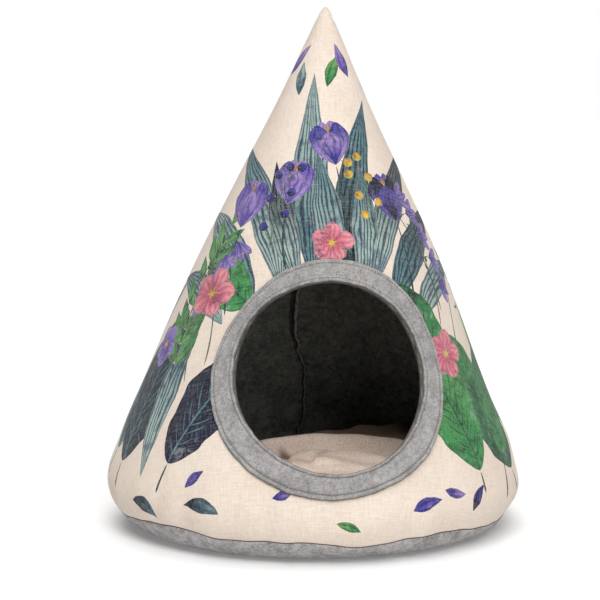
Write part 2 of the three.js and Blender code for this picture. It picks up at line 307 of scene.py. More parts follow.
def pattern_point(points, depth):
    """Where a point of the flat pattern lies on the cone, so deep under its outside."""
    turn, height = from_flat(points)
    near_tip = np.clip((height - TIP_ZONE) / (TOTAL_HEIGHT - TIP_ZONE), 0, 1)
    return wall_point(DOOR_ANGLE + turn, height - depth * near_tip, depth)


# Meshes

def new_object(name, points, faces):
    """A smooth mesh object from points in millimetres."""
    mesh = bpy.data.meshes.new(name)
    mesh.from_pydata((np.asarray(points) * MM).tolist(), [], [list(map(int, f)) for f in faces])
    mesh.validate()
    mesh.shade_smooth()
    piece = bpy.data.objects.new(name, mesh)
    bpy.context.scene.collection.objects.link(piece)
    return piece


def dressed(piece, material):
    """Gives a piece its material and lets it ride on the body."""
    piece.data.materials.append(material)
    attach(piece, "root")
    return piece


def grid_faces(rows, columns, closed_rows=False, start=0):
    """Quads between rows of points that each run round in a ring."""
    faces = []
    for i in range(rows if closed_rows else rows - 1):
        here = start + i * columns
        up = start + (i + 1) % rows * columns
        for j in range(columns):
            k = (j + 1) % columns
            faces.append((here + j, here + k, up + k, up + j))
    return faces


def capped_faces(rows, columns, start=0):
    """The same, with the first and the last ring filled."""
    ring = start + np.arange(columns)
    return grid_faces(rows, columns, start=start) + [ring[::-1], ring + (rows - 1) * columns]


def set_point_values(piece, name, values):
    """Gives each point a number for its material."""
    attribute = piece.data.attributes.new(name, "FLOAT", "POINT")
    attribute.data.foreach_set("value", np.asarray(values, np.float32))


# The print, painted in the flat pattern

INKS = {
    "green": (51, 131, 70),
    "deep_green": (25, 86, 54),
    "leaf_light": (99, 156, 88),
    "teal": (86, 122, 128),
    "pale_teal": (151, 171, 165),
    "dark_teal": (25, 43, 54),
    "lilac": (153, 128, 185),
    "violet": (94, 79, 162),
    "blue_violet": (61, 58, 144),
    "navy": (25, 31, 58),
    "yellow": (210, 180, 77),
    "amber": (196, 142, 58),
    "pink": (217, 135, 144),
    "rose": (190, 88, 112),
    "stem": (92, 113, 92),
    "stem_dark": (43, 69, 63),
}


def to_linear(colour):
    shares = np.array(colour, float) / 255
    return np.where(shares <= 0.04045, shares / 12.92, ((shares + 0.055) / 1.055) ** 2.4)


# A stroke narrower than this has fewer points and no soft edge
THIN_STROKE = 4
# How far apart the points along a thin and along a wider stroke lie, and how many
# steps a stroke has
THIN_SPACING, WIDE_SPACING = 6, 2.8
FEWEST_STEPS, MOST_STEPS = 4, 36
VEIN_SPACING = 14


# Outlines of strokes: the share of the full width at each share of the length

def lance(u):
    return np.sin(math.pi * u**0.85) ** 1.1


def broad(u):
    return np.sin(math.pi * u**0.78) ** 0.8


def petal(u):
    return np.sin(math.pi * u**1.5) ** 0.7


def oval(u):
    return np.sqrt(np.maximum(0, 1 - (2 * u - 1) ** 2))


def strap(u):
    return np.minimum(1, 9 * u) ** 0.5 * (1 - 0.55 * u) * np.minimum(1, 14 * (1 - u)) ** 0.5


def spots(path, low, span, count, parts):
    """So many places along a stroke, from a low share of its length on."""
    spine, ways = path
    for i in range(count):
        k = int((low + span * i / parts) * (len(spine) - 1))
        yield i, spine[k], ways[k]


class Garden:
    """The painted motifs, the later ones over the earlier ones."""

    def __init__(self):
        self.motifs = []
        self.chance = np.random.default_rng(7)

    def vary(self, size):
        """A factor that differs from 1 by up to the size."""
        return 1 + size * self.chance.uniform(-1, 1)

    def stroke(self, start, heading, length, bend, width, shape, ink, to_ink=None, lines=0, strength=0):
        """One stroke of the brush, with so many darker lines along it. The heading is
        clockwise from the direction of the tip. Gives its spine and headings."""
        thin = width < THIN_STROKE
        spacing = THIN_SPACING if thin else WIDE_SPACING
        steps = int(np.clip(length / spacing, FEWEST_STEPS, MOST_STEPS))
        u = np.linspace(0, 1, steps + 1)
        u = 0.45 * u + 0.55 * (1 - np.cos(math.pi * u)) / 2
        way = np.radians(heading + bend * (u[1:] + u[:-1]) / 2)
        ahead = np.stack([np.sin(way), np.cos(way)], 1) * length * np.diff(u)[:, None]
        spine = np.asarray(start, float) + np.vstack([[0, 0], np.cumsum(ahead, 0)])
        phase = self.chance.uniform(0, 6, 3)
        sway = 0.07 * np.sin(u * 8 + phase[0]) + 0.045 * np.sin(u * 21 + phase[1])
        half = width / 2 * shape(u) * (1 + sway + 0.02 * np.sin(u * 47 + phase[2]))
        along = np.gradient(spine, axis=0)
        along /= np.linalg.norm(along, axis=1)[:, None]
        aside = np.stack([along[:, 1], -along[:, 0]], 1) * half[:, None]
        sides = (spine + aside)[1:-1], (spine - aside)[-2:0:-1]
        self.motifs.append({
            "spine": spine, "half": half, "share": u, "thin": thin,
            "loop": np.vstack([spine[:1], sides[0], spine[-1:], sides[1]]),
            "inks": [to_linear(INKS[ink]) * self.vary(0.08), to_linear(INKS[to_ink or ink])],
            "style": (lines, self.chance.uniform(0, 50), strength),
        })
        return spine, heading + bend * u

    def stem(self, start, heading, length, bend, width=2.2, ink="stem"):
        return self.stroke(start, heading, length, bend, width, strap, ink)

    def blade(self, start, heading, length, bend, width, ink, to_ink, lines):
        """A long leaf of flowing lines."""
        self.stroke(start, heading, length, bend, width, lance, ink, to_ink, lines, 0.92)

    def leaf(self, start, heading, length, bend, width, ink, to_ink, line="deep_green"):
        """A broad leaf with a midrib and pairs of side veins."""
        spine, ways = self.stroke(start, heading, length, bend, width, broad, ink, to_ink, 1, 0.16)
        self.stroke(start, heading, length * 0.94, bend * 0.94, 2.6, strap, line)
        pairs = int(length / VEIN_SPACING)
        for i in range(pairs):
            u = 0.1 + 0.76 * i / pairs
            k = int(np.searchsorted(np.linspace(0, 1, len(spine)), u))
            for side in (-1, 1):
                way = ways[k] + side * (58 - 26 * u)
                reach = width * float(broad(u)) * 0.5 * self.vary(0.12)
                self.stroke(spine[k], way, reach, -side * 26, 1.5, lance, line)

    def sprout(self, start, heading, stalk, length, bend, width, ink, to_ink, line="deep_green"):
        """A broad leaf on a stalk."""
        spine, ways = self.stem(start, heading, stalk, bend * 0.3, 3.2, "stem_dark")
        self.leaf(spine[-1], ways[-1], length, bend, width, ink, to_ink, line)

    def branch(self, start, heading, length, bend, pairs, leaf, width, ink, to_ink):
        """A stem with leaves on both sides and one at its end."""
        brush = (lance, ink, to_ink, 2, 0.4)
        path = self.stem(start, heading, length, bend, 2.4, "stem_dark")
        for i, at, way in spots(path, 0.22, 0.72, pairs, pairs):
            size = leaf * (1 - 0.4 * i / pairs) * self.vary(0.1)
            for side in (-1, 1):
                lean = side * 46 * self.vary(0.14)
                self.stroke(at, way + lean, size, -side * 18, width * size / leaf, *brush)
        spine, ways = path
        self.stroke(spine[-1], ways[-1], leaf * 0.62, 6, width * 0.7, *brush)

    def sedge(self, start, heading, length, bend, seeds):
        """A thin arching stalk with small seeds beside its end."""
        path = self.stem(start, heading, length, bend, 1.9)
        for i, at, way in spots(path, 0.55, 0.45, seeds, seeds):
            side = 1 if i % 2 else -1
            size = 9 * self.vary(0.2)
            self.stroke(at, way + side * 38, size, -side * 14, 3.2, lance, "stem_dark")

    def tulip(self, start, heading, length, bend, size, ink="lilac", back="violet"):
        """A cup of petals on a stalk, with yellow inside."""
        spine, ways = self.stem(start, heading, length, bend, 2.6, "stem_dark")
        cup, way = spine[-1], ways[-1]

        def add(lean, reach, width, *inks):
            reach, width = size * reach, size * width
            self.stroke(cup, way + lean, reach, -lean * 1.3, width, petal, *inks, 3, 0.5)

        for lean in (-13, 14):
            add(lean, 1, 0.38, back, ink)
        add(1, 0.9, 0.15, "yellow", "amber")
        for lean in (-31, 30):
            add(lean, 0.98, 0.43, ink, back)
        add(2, 0.74, 0.45, back, ink)

    def bells(self, start, heading, length, bend, count, size, ink="blue_violet", to_ink="lilac"):
        """Small hanging bells on one side of an arching stalk."""
        path = self.stem(start, heading, length, bend, 2, "stem_dark")
        for _, at, way in spots(path, 0.35, 0.65, count, count - 1):
            hook, _ = self.stem(at, way + 62, size * 0.5, 60, 1.6, "stem_dark")
            down = way + 118 + 10 * self.chance.uniform(-1, 1)
            for lean in (-24, 24, 0):
                self.stroke(hook[-1], down + lean, size, lean, size * 0.4, petal, ink, to_ink, 2, 0.5)

    def berries(self, start, heading, length, bend, count, size, ink, to_ink):
        """Round berries on short stalks to both sides, and one at the end."""
        path = self.stem(start, heading, length, bend, 2)
        for i, at, way in spots(path, 0.2, 0.8, count, count - 1):
            side = 1 if i % 2 else -1
            stalk, ways = self.stem(at, way + side * 44, size * 1.3, -side * 20, 1.5)
            at = stalk[-1] if i < count - 1 else at
            self.stroke(at, ways[-1], size, 0, size * 0.94, oval, ink, to_ink)

    def blossom(self, centre, heading, size, ink="pink", to_ink="rose"):
        """An open blossom of five broad petals."""
        for i in range(5):
            way = heading + 72 * i + 7 * self.chance.uniform(-1, 1)
            reach = size * 0.56 * self.vary(0.1)
            self.stroke(centre, way, reach, 0, size * 0.5, petal, to_ink, ink, 3, 0.35)
        for i in range(6):
            self.stroke(centre, heading + 60 * i, size * 0.16, 0, 2.4, strap, "yellow", "amber")

    def loose_leaf(self, start, heading, length, bend, width, ink, to_ink):
        self.stroke(start, heading, length, bend, width, lance, ink, to_ink, 2, 0.6)


def plant(garden, kind, turn, height, heading, *rest):
    """Adds a motif at a place on the wall; its heading is from straight up the cone."""
    getattr(garden, kind)(to_flat(turn, height), heading - turn * TURN_SHARE, *rest)


# The plants round the doorway: kind, turn, height, heading and the kind's own values
FRONT_PLANTS = [
    # Long blades of flowing lines fan out over the doorway, behind everything
    ("blade", -44, 206, -46, 116, -34, 31, "pale_teal", "teal", 6),
    ("blade", 38, 214, 40, 118, 34, 30, "pale_teal", "teal", 6),
    ("blade", -32, 226, -30, 154, -30, 34, "teal", "pale_teal", 7),
    ("blade", 28, 230, 28, 152, 30, 33, "teal", "dark_teal", 7),
    ("blade", -21, 240, -15, 186, -24, 33, "pale_teal", "teal", 7),
    ("blade", 19, 242, 15, 180, 26, 32, "pale_teal", "dark_teal", 7),
    ("blade", -7, 246, -6, 214, 8, 35, "teal", "pale_teal", 8),
    ("blade", 8, 246, 4, 196, 12, 33, "dark_teal", "teal", 6),
    ("blade", -13, 244, -22, 132, 14, 26, "pale_teal", "dark_teal", 6),
    ("blade", 14, 244, 14, 122, -16, 25, "pale_teal", "teal", 6),
    ("blade", 1, 246, 0, 136, -10, 27, "pale_teal", "teal", 6),
    # Broad green leaves on the right of the doorway
    ("sprout", 84, 50, -4, 54, 150, 10, 60, "leaf_light", "green"),
    ("sprout", 71, 46, -8, 24, 168, -18, 74, "deep_green", "green"),
    ("sprout", 61, 44, 14, 44, 140, 14, 58, "green", "deep_green"),
    ("sprout", 49, 56, 2, 22, 176, -32, 70, "green", "leaf_light"),
    ("leaf", 45, 168, -8, 104, -36, 48, "green", "deep_green"),
    ("leaf", -33, 226, -66, 96, 46, 44, "green", "leaf_light"),
    # Dark leaves on the left of the doorway, with a pale blade and a green branch
    ("sprout", -86, 46, 6, 30, 150, 8, 58, "teal", "dark_teal", "navy"),
    ("sprout", -73, 44, -8, 26, 158, 18, 76, "dark_teal", "dark_teal", "teal"),
    ("blade", -60, 62, -10, 176, 30, 30, "pale_teal", "teal", 6),
    ("sprout", -52, 52, 8, 30, 142, 24, 60, "navy", "dark_teal", "teal"),
    ("branch", -62, 140, -10, 168, 22, 7, 46, 17, "leaf_light", "green"),
    # Thin stalks
    ("sedge", -47, 168, 2, 108, -44, 7),
    ("sedge", -54, 150, -18, 150, 28, 8),
    ("sedge", 50, 206, 20, 104, -32, 8),
    ("stem", 56, 176, 16, 120, 20),
    # Flowers and berries over the leaves
    ("tulip", -44, 214, -18, 88, 18, 50),
    ("tulip", 37, 222, 16, 88, -20, 50, "violet", "navy"),
    ("tulip", -20, 258, -20, 66, 26, 46),
    ("tulip", 9, 256, 4, 108, -12, 46, "lilac", "blue_violet"),
    ("bells", 54, 218, 10, 114, -40, 5, 24),
    ("bells", -70, 206, 0, 96, 34, 4, 22, "violet", "lilac"),
    ("berries", -30, 276, -8, 78, 20, 7, 10, "navy", "blue_violet"),
    ("berries", 26, 288, 8, 74, -30, 7, 9.5, "yellow", "amber"),
    ("blossom", -55, 232, 10, 46),
    ("blossom", 48, 182, 20, 42),
    ("blossom", 1, 284, 10, 36),
    ("blossom", -76, 178, 30, 40, "lilac", "violet"),
    # Petals and leaves that have fallen towards the hem
    ("loose_leaf", 22, 50, 62, 36, 26, 12, "blue_violet", "violet"),
    ("loose_leaf", 33, 66, 118, 28, -30, 10, "violet", "lilac"),
    ("loose_leaf", 43, 42, 24, 32, 36, 11, "navy", "blue_violet"),
    ("loose_leaf", -30, 44, -64, 44, -40, 14, "teal", "dark_teal"),
    ("loose_leaf", -42, 62, 34, 27, 20, 10, "violet", "blue_violet"),
    ("loose_leaf", -62, 40, 80, 42, 50, 14, "dark_teal", "teal"),
    ("loose_leaf", 1, 42, 100, 26, 16, 9, "leaf_light", "green"),
    ("loose_leaf", -16, 62, 76, 24, -26, 9, "blue_violet", "lilac"),
]

# One clump of plants for the sides and the back, and the inks of its four kinds
CLUMP_PLANTS = [
    ("blade", -8, 66, -12, 200, -12, 34, "pale_teal", "teal", 7),
    ("blade", 7, 62, 11, 214, 14, 34, "teal", "pale_teal", 7),
    ("blade", 0, 92, 2, 228, -14, 32, "pale_teal", "dark_teal", 7),
    ("sprout", -11, 44, -14, 24, 122, 14, 54, "GREEN", "SHADE"),
    ("sprout", 10, 44, 12, 34, 116, -14, 52, "SHADE", "GREEN"),
    ("sprout", -1, 42, -2, 16, 98, 6, 46, "GREEN", "leaf_light"),
    ("branch", 12, 132, 8, 132, -16, 6, 40, 15, "leaf_light", "green"),
    ("tulip", -6, 156, -10, 118, 14, 48, "BLOOM", "DEEP"),
    ("berries", 2, 256, 2, 80, 12, 7, 9.5, "FRUIT", "amber"),
    ("bells", 9, 178, 10, 102, -34, 4, 22, "DEEP", "BLOOM"),
    ("blossom", -4, 232, 20, 40),
    ("sedge", 13, 118, 16, 132, -24, 7),
    ("loose_leaf", -14, 40, 70, 30, 30, 11, "DEEP", "BLOOM"),
    ("loose_leaf", 4, 36, -60, 32, -30, 11, "teal", "pale_teal"),
]
CLUMP_INKS = [
    {"GREEN": "green", "SHADE": "deep_green", "BLOOM": "lilac", "DEEP": "violet", "FRUIT": "yellow"},
    {"GREEN": "dark_teal", "SHADE": "navy", "BLOOM": "violet", "DEEP": "navy", "FRUIT": "yellow"},
    {"GREEN": "leaf_light", "SHADE": "green", "BLOOM": "lilac", "DEEP": "blue_violet", "FRUIT": "navy"},
    {"GREEN": "deep_green", "SHADE": "dark_teal", "BLOOM": "lilac", "DEEP": "violet", "FRUIT": "pink"},
]


def paint_garden():
    """The clumps come first, then the plants in front, and small leaves near the tip."""
    garden = Garden()
    vary = garden.chance.uniform
    for number, turn in enumerate((-170, -144, -118, 112, 136, 160)):
        inks = CLUMP_INKS[number % 4]
        side = -1 if number % 2 else 1
        for kind, aside, height, heading, *rest in CLUMP_PLANTS:
            rest = [inks.get(value, value) for value in rest]
            place = turn + side * aside + vary(-1.5, 1.5)
            plant(garden, kind, place, height + vary(-3, 9), side * heading + vary(-5, 5), *rest)
    for values in FRONT_PLANTS:
        plant(garden, *values)
    for i in range(9):
        inks = (("teal", "pale_teal"), ("green", "leaf_light"), ("violet", "lilac"))[i % 3]
        place = (-160 + 40 * i, 416 + 9 * (i % 3), 12 * (-1) ** i)
        plant(garden, "loose_leaf", *place, 36, 10, 11, *inks)
    return garden.motifs


# The sheets of the wall

# Rows of extra points lie so far from the tip, the hem and the back seam
TIP_ROWS = (0.9, 1.8, 2.9, 4.2, 5.8, 7.6, 9.6)
HEM_ROWS = (0.8, 1.8, 3.2, 5)
SEAM_ROWS = (0.7, 1.6, 2.8, 4.4, 6.6)
# How many points a row round the tip or along the hem has, and how far apart those of
# a row beside the seam lie
TIP_ROW_POINTS, HEM_ROW_POINTS, SEAM_ROW_SPACING = 13, 420, 4.0
# The even points keep clear of those rows
TIP_CLEAR, HEM_CLEAR, SEAM_CLEAR = 11, 6.5, 8.5
# The seam ends and the rounding of the tip begins this far from it
TIP_ROUNDS_LENGTH = 12
# The lining's cut edge is seen this near to the doorway's middle, and there it gets a little
# of the cut-edge colour and a deep painted shade
DOOR_RIM_REACH = 130
DOOR_RIM_EDGE_TONE, DOOR_RIM_SHADE = 0.2, 0.92
# The outer face turns down at its edges and is even this far from them
EVEN_FROM = 4
# In the map the outer face starts this far below the tip, and all else is drawn at this
# scale from this corner on
MAP_DEPTH = 530
SMALL_MAP_SCALE, SMALL_MAP_CORNER = 0.35, (0.05, 0.6)


def hem_edge(turns):
    return to_flat(turns, hem_height(wrapped(DOOR_ANGLE + turns)) + GAP / 2)


def edge_distances(points):
    """How far points of the pattern lie from the tip, the hem and the back seam."""
    turn, _ = from_flat(points)
    length = np.hypot(points[:, 0], points[:, 1])
    to_hem = np.hypot(*hem_edge(np.clip(turn, -180, 180)).T) - length
    to_seam = length * np.radians(180 - np.abs(turn)) * TURN_SHARE
    return length, to_hem, to_seam


def pattern_outline():
    """The cut edge of the wall's pattern: down one side of the back seam, along the
    hem and up the other side."""
    half_turn = 179.97
    foot = hem_edge(np.array([-half_turn]))[0]
    length = np.hypot(*foot)
    swing = math.radians(half_turn * TURN_SHARE)
    steps = np.arange(1, int(length / EDGE_STEP)) * EDGE_STEP
    left = np.stack([-steps * math.sin(swing), -steps * math.cos(swing)], 1)
    hem_steps = int(2 * math.pi * WIDEST_RADIUS / EDGE_STEP)
    hem = hem_edge(np.linspace(-half_turn, half_turn, hem_steps))
    right = left[::-1] * [-1, 1]
    return np.vstack([[[0, 0]], left, hem, right])


def doorway_outline():
    turns = wrapped(-np.arange(0, 360, 360 / 240))
    angle, height = door_place(turns, ring_inner(turns) + DOOR_EDGE_SETBACK)
    return to_flat(angle - DOOR_ANGLE, height)


def pattern_fill(step):
    """Even points over the pattern, with closer rows beside its edges."""
    across = np.arange(-PATTERN_HALF_WIDTH, PATTERN_HALF_WIDTH, step)
    down = np.arange(-PATTERN_DEPTH, 0, step * ROW_SPACING)
    x, y = np.meshgrid(across, down)
    x = x + (np.arange(len(down)) % 2)[:, None] * step / 2
    points = np.stack([x.ravel(), y.ravel()], 1)
    to_tip, to_hem, to_seam = edge_distances(points)
    rows = [points[(to_tip > TIP_CLEAR) & (to_hem > HEM_CLEAR) & (to_seam > SEAM_CLEAR)]]

    def arc(length, swing):
        rows.append(np.stack([length * np.sin(swing), -length * np.cos(swing)], 1))

    for length in TIP_ROWS:
        arc(length, np.radians(np.linspace(-150, 150, TIP_ROW_POINTS)) * TURN_SHARE)
    edge = hem_edge(np.linspace(-179.5, 179.5, HEM_ROW_POINTS))
    for back in HEM_ROWS:
        rows.append(edge * (1 - back / np.hypot(*edge.T))[:, None])
    seam_length = np.hypot(*hem_edge(np.array([180.0]))[0])
    lengths = np.arange(10, seam_length - SEAM_ROW_SPACING, SEAM_ROW_SPACING)
    for aside in SEAM_ROWS:
        for side in (-1, 1):
            arc(lengths, side * (math.radians(180) * TURN_SHARE - aside / lengths))
    return np.vstack(rows)


def triangulated(outline, hole, fill, motifs):
    """Triangles of a pattern whose edges follow its outline and every motif's outline,
    and the number of the motif that shows on each, or -1."""
    points, edges, loops = [], [], []

    def add(new, close):
        start = sum(map(len, points))
        points.append(new)
        numbers = list(range(start, start + len(new)))
        if close:
            loops.append(numbers)
        else:
            edges.extend(zip(numbers[:-1], numbers[1:]))

    add(outline, True)
    add(hole, True)
    for motif in motifs:
        add(motif["loop"], True)
    for motif in motifs:
        if motif["half"].max() > 2:
            add(motif["spine"][1:-1], False)
    points.append(fill)
    vectors = [Vector(p) for p in np.vstack(points).tolist()]
    out = delaunay_2d_cdt(vectors, edges, loops, 0, 1e-4, True)
    flat = np.array([tuple(v) for v in out[0]])
    triangles, owners = [], []
    for triangle, inside in zip(out[2], out[5]):
        if 0 in inside and 1 not in inside:
            triangles.append(triangle)
            owners.append(max(inside) - 2)
    triangles = np.array(triangles)
    a, b, c = (flat[triangles[:, i]] for i in range(3))
    area = (b[:, 0] - a[:, 0]) * (c[:, 1] - a[:, 1]) - (b[:, 1] - a[:, 1]) * (c[:, 0] - a[:, 0])
    triangles[area < 0] = triangles[area < 0][:, ::-1]
    keep = np.abs(area) > 1e-5
    triangles, owners = triangles[keep], np.maximum(np.array(owners)[keep], -1)
    used, triangles = np.unique(triangles, return_inverse=True)
    return flat[used], triangles.reshape(-1, 3), owners


def rim_edges(triangles):
    """The edges that only one triangle uses, in that triangle's direction."""
    edges = np.concatenate([triangles[:, [0, 1]], triangles[:, [1, 2]], triangles[:, [2, 0]]])
    keys = np.sort(edges, axis=1)
    _, first, uses = np.unique(keys, axis=0, return_index=True, return_counts=True)
    return edges[first[uses == 1]]


def rim_loops(edges, flat):
    """The rim's points in order: those along the hem and the back seam, then those
    round the doorway."""
    after = dict(edges.tolist())
    loops = []
    while after:
        loop = [next(iter(after))]
        while loop[-1] in after:
            loop.append(after.pop(loop[-1]))
        loops.append(loop[:-1])
    loops.sort(key=lambda loop: -np.ptp(flat[loop, 0]))
    return loops[0], loops[1]


def rim_directions(flat, edges):
    """The direction out of the pattern at each point of its edge."""
    out = np.zeros_like(flat)
    ahead = flat[edges[:, 1]] - flat[edges[:, 0]]
    outwards = np.stack([ahead[:, 1], -ahead[:, 0]], 1)
    outwards /= np.maximum(np.linalg.norm(outwards, axis=1), 1e-9)[:, None]
    for column in (0, 1):
        np.add.at(out, edges[:, column], outwards)
    return out / np.maximum(np.linalg.norm(out, axis=1), 1e-9)[:, None]


def edge_drop(flat, size):
    """How far the outer face sinks beside the hem and the back seam, like a turned edge."""
    reach = 3
    to_tip, to_hem, to_seam = edge_distances(flat)
    nearest = np.minimum(to_hem, np.where(to_tip < TIP_ROUNDS_LENGTH, reach, to_seam))
    return size * np.square(1 - np.clip(nearest / reach, 0, 1))


def wall_sheet(name, outer_depth, inner_depth, motifs, drop, bulge):
    """A sheet of the wall with an outer face, a plainer inner face and a rim between."""
    flat, triangles, owners = triangulated(
        pattern_outline(), doorway_outline(), pattern_fill(PATTERN_STEP), motifs)
    edges = rim_edges(triangles)
    hem_loop, door_loop = rim_loops(edges, flat)
    back, back_triangles, _ = triangulated(
        flat[hem_loop], flat[door_loop][::-1], pattern_fill(INNER_STEP), [])
    used = np.unique(edges)
    gaps = ((flat[used][:, None] - back[None]) ** 2).sum(2)
    to_back = np.zeros(len(flat), int)
    to_back[used] = gaps.argmin(1)
    number = np.zeros(len(flat), int)
    number[used] = np.arange(len(used))
    outwards = rim_directions(flat, edges)
    front_depth = outer_depth + edge_drop(flat, drop)
    rows = [pattern_point(flat, front_depth), pattern_point(back, inner_depth)]
    for share in (0.3, 0.7):
        at = flat[used] + outwards[used] * bulge * math.sin(math.pi * share)
        rows.append(pattern_point(at, outer_depth + drop + (inner_depth - outer_depth - drop) * share))
    starts = np.cumsum([0] + [len(row) for row in rows])

    def at_row(row, k):
        """Numbers of the points of the rim's rows, from the outer face to the inner one."""
        return (k, starts[2] + number[k], starts[3] + number[k], starts[1] + to_back[k])[row]

    faces = triangles.tolist() + (starts[1] + back_triangles[:, ::-1]).tolist()
    for row in range(3):
        lower, upper = at_row(row, edges), at_row(row + 1, edges)
        faces += [(b, a, c, d) for (a, b), (c, d) in zip(lower.tolist(), upper.tolist())]
    piece = new_object(name, np.vstack(rows), faces)
    places = np.vstack([flat, back, flat[used], flat[used]])
    return piece, flat, triangles, owners, places


def face_normals_from_pattern(flat):
    """The true normals of the outside at points of the pattern."""
    x, y = (pattern_point(flat + step, 0) - pattern_point(flat - step, 0) for step in 0.4 * np.eye(2))
    normals = np.cross(x, y)
    return normals / np.maximum(np.linalg.norm(normals, axis=1), 1e-9)[:, None]


def motif_places(motif, points):
    """For points on a motif: the share along it, the share across it and how far its
    edge is."""
    spine, half = motif["spine"], motif["half"]
    start, step = spine[:-1], np.diff(spine, axis=0)
    size = (step**2).sum(1)
    share = np.clip(((points[:, None] - start) * step).sum(2) / size, 0, 1)
    offset = points[:, None] - (start + share[..., None] * step)
    distance = np.hypot(offset[..., 0], offset[..., 1])
    nearest = distance.argmin(1)
    rows = np.arange(len(points))
    share, offset, distance = share[rows, nearest], offset[rows, nearest], distance[rows, nearest]
    u = np.interp(nearest + share, np.arange(len(half)), motif["share"])
    width = np.interp(nearest + share, np.arange(len(half)), half)
    side = np.sign(step[nearest, 1] * offset[:, 0] - step[nearest, 0] * offset[:, 1])
    across = np.clip(distance / np.maximum(width, 0.05), 0, 1)
    return u, side * across, np.maximum(width - distance, 0)


def corner_attribute(mesh, name, kind, values):
    """Gives each corner of each face a colour or a vector for its material."""
    attribute = mesh.attributes.new(name, kind, "CORNER")
    field = "color" if kind == "FLOAT_COLOR" else "vector"
    attribute.data.foreach_set(field, np.asarray(values, np.float32).ravel())


def printed_cover():
    """The cover's sheet, with its inks and where each corner lies on its motif."""
    motifs = paint_garden()
    piece, flat, triangles, owners, places = wall_sheet(
        "cover", 0, COVER_THICKNESS, motifs, drop=0.55, bulge=0)
    mesh = piece.data
    vertex = np.zeros(len(mesh.loops), np.int64)
    mesh.loops.foreach_get("vertex_index", vertex)
    ink = np.zeros((len(vertex), 4))
    tone = np.zeros((len(vertex), 3))
    style = np.zeros((len(vertex), 3))
    for number, motif in enumerate(motifs):
        shown = np.flatnonzero(owners == number)
        if not len(shown):
            continue
        corners = (shown[:, None] * 3 + [0, 1, 2]).ravel()
        u, v, edge = motif_places(motif, flat[triangles[shown].ravel()])
        turned = smoothstep(u, 0.15, 0.9)[:, None]
        ink[corners, :3] = motif["inks"][0] * (1 - turned) + motif["inks"][1] * turned
        ink[corners, 3] = 1
        tone[corners] = np.stack([u, v, edge + 1.2 * motif["thin"]], 1)
        style[corners] = motif["style"]
    corner_attribute(mesh, "ink", "FLOAT_COLOR", ink)
    corner_attribute(mesh, "tone", "FLOAT_VECTOR", tone)
    corner_attribute(mesh, "style", "FLOAT_VECTOR", style)
    at = places[vertex]
    corner_attribute(mesh, "pattern", "FLOAT_VECTOR", np.column_stack([at, np.zeros(len(at))]))
    add_pattern_map(mesh, at, len(triangles) * 3)
    set_wall_normals(mesh, flat)
    return piece


def add_pattern_map(mesh, places, outer_corners):
    """The outer face fills the lower part of the map; all else is small above it."""
    uv = (places + [PATTERN_HALF_WIDTH, MAP_DEPTH]) / (2 * PATTERN_HALF_WIDTH)
    uv[outer_corners:] = SMALL_MAP_CORNER + uv[outer_corners:] * SMALL_MAP_SCALE
    layer = mesh.uv_layers.new(name="OFBake")
    layer.data.foreach_set("uv", uv.astype(np.float32).ravel())


def set_wall_normals(mesh, flat):
    """Smooth shading from the true surface instead of from its triangles."""
    normals = np.array([tuple(v.normal) for v in mesh.vertices])
    outer = normals[:len(flat)]
    to_tip, to_hem, to_seam = edge_distances(flat)
    even = (to_hem > EVEN_FROM) & (to_seam > EVEN_FROM) & (to_tip > TIP_ROUNDS_LENGTH + 2)
    outer[even] = face_normals_from_pattern(flat)[even]
    # Round the tip they point away from a spot on the axis
    places = np.array([tuple(v.co) for v in mesh.vertices[:len(flat)]]) / MM
    spokes = places - leaned(np.array([0, 0, TIP_ROUNDS_FROM - 4.0]), 1)
    tip = to_tip < TIP_ROUNDS_LENGTH
    outer[tip] = (spokes / np.linalg.norm(spokes, axis=1)[:, None])[tip]
    mesh.normals_split_custom_set_from_vertices(normals.tolist())


def felt_lining():
    """The inner wall; its cut edge in the doorway takes a little of the cut-edge colour and is darkened
    with painted shade.
    """
    piece, _, triangles, _, places = wall_sheet(
        "lining", LINING_DEPTH, WALL_THICKNESS, [], drop=0.3, bulge=0.7)
    rim_count = len(np.unique(rim_edges(triangles)))
    from_door = np.hypot(*(places - to_flat(0, DOOR_HEIGHT)).T)
    on_rim = np.arange(len(places)) >= len(places) - 2 * rim_count
    cut_edge = on_rim & (from_door < DOOR_RIM_REACH)
    set_point_values(piece, "edge_tone_and_painted_light", DOOR_RIM_EDGE_TONE * cut_edge)
    set_point_values(piece, "shaded", DOOR_RIM_SHADE * cut_edge)
    return piece


# Materials

# The darker and the lighter colour of each surface; the first pair colours cut felt edges
# and is also used as painted light on the facing's lips and the seam ridge's top
CUT_EDGE_AND_PAINTED_LIGHT = ((110, 104, 95), (178, 169, 156))
CLOTH = ((212, 196, 183), (226, 214, 201))
PLUSH = ((248, 218, 198), (255, 240, 227))
# Darker spots in the cloth, and what thin ink pales to
CLOTH_GRAIN = (205, 185, 171)
THIN_INK = (190, 183, 190)


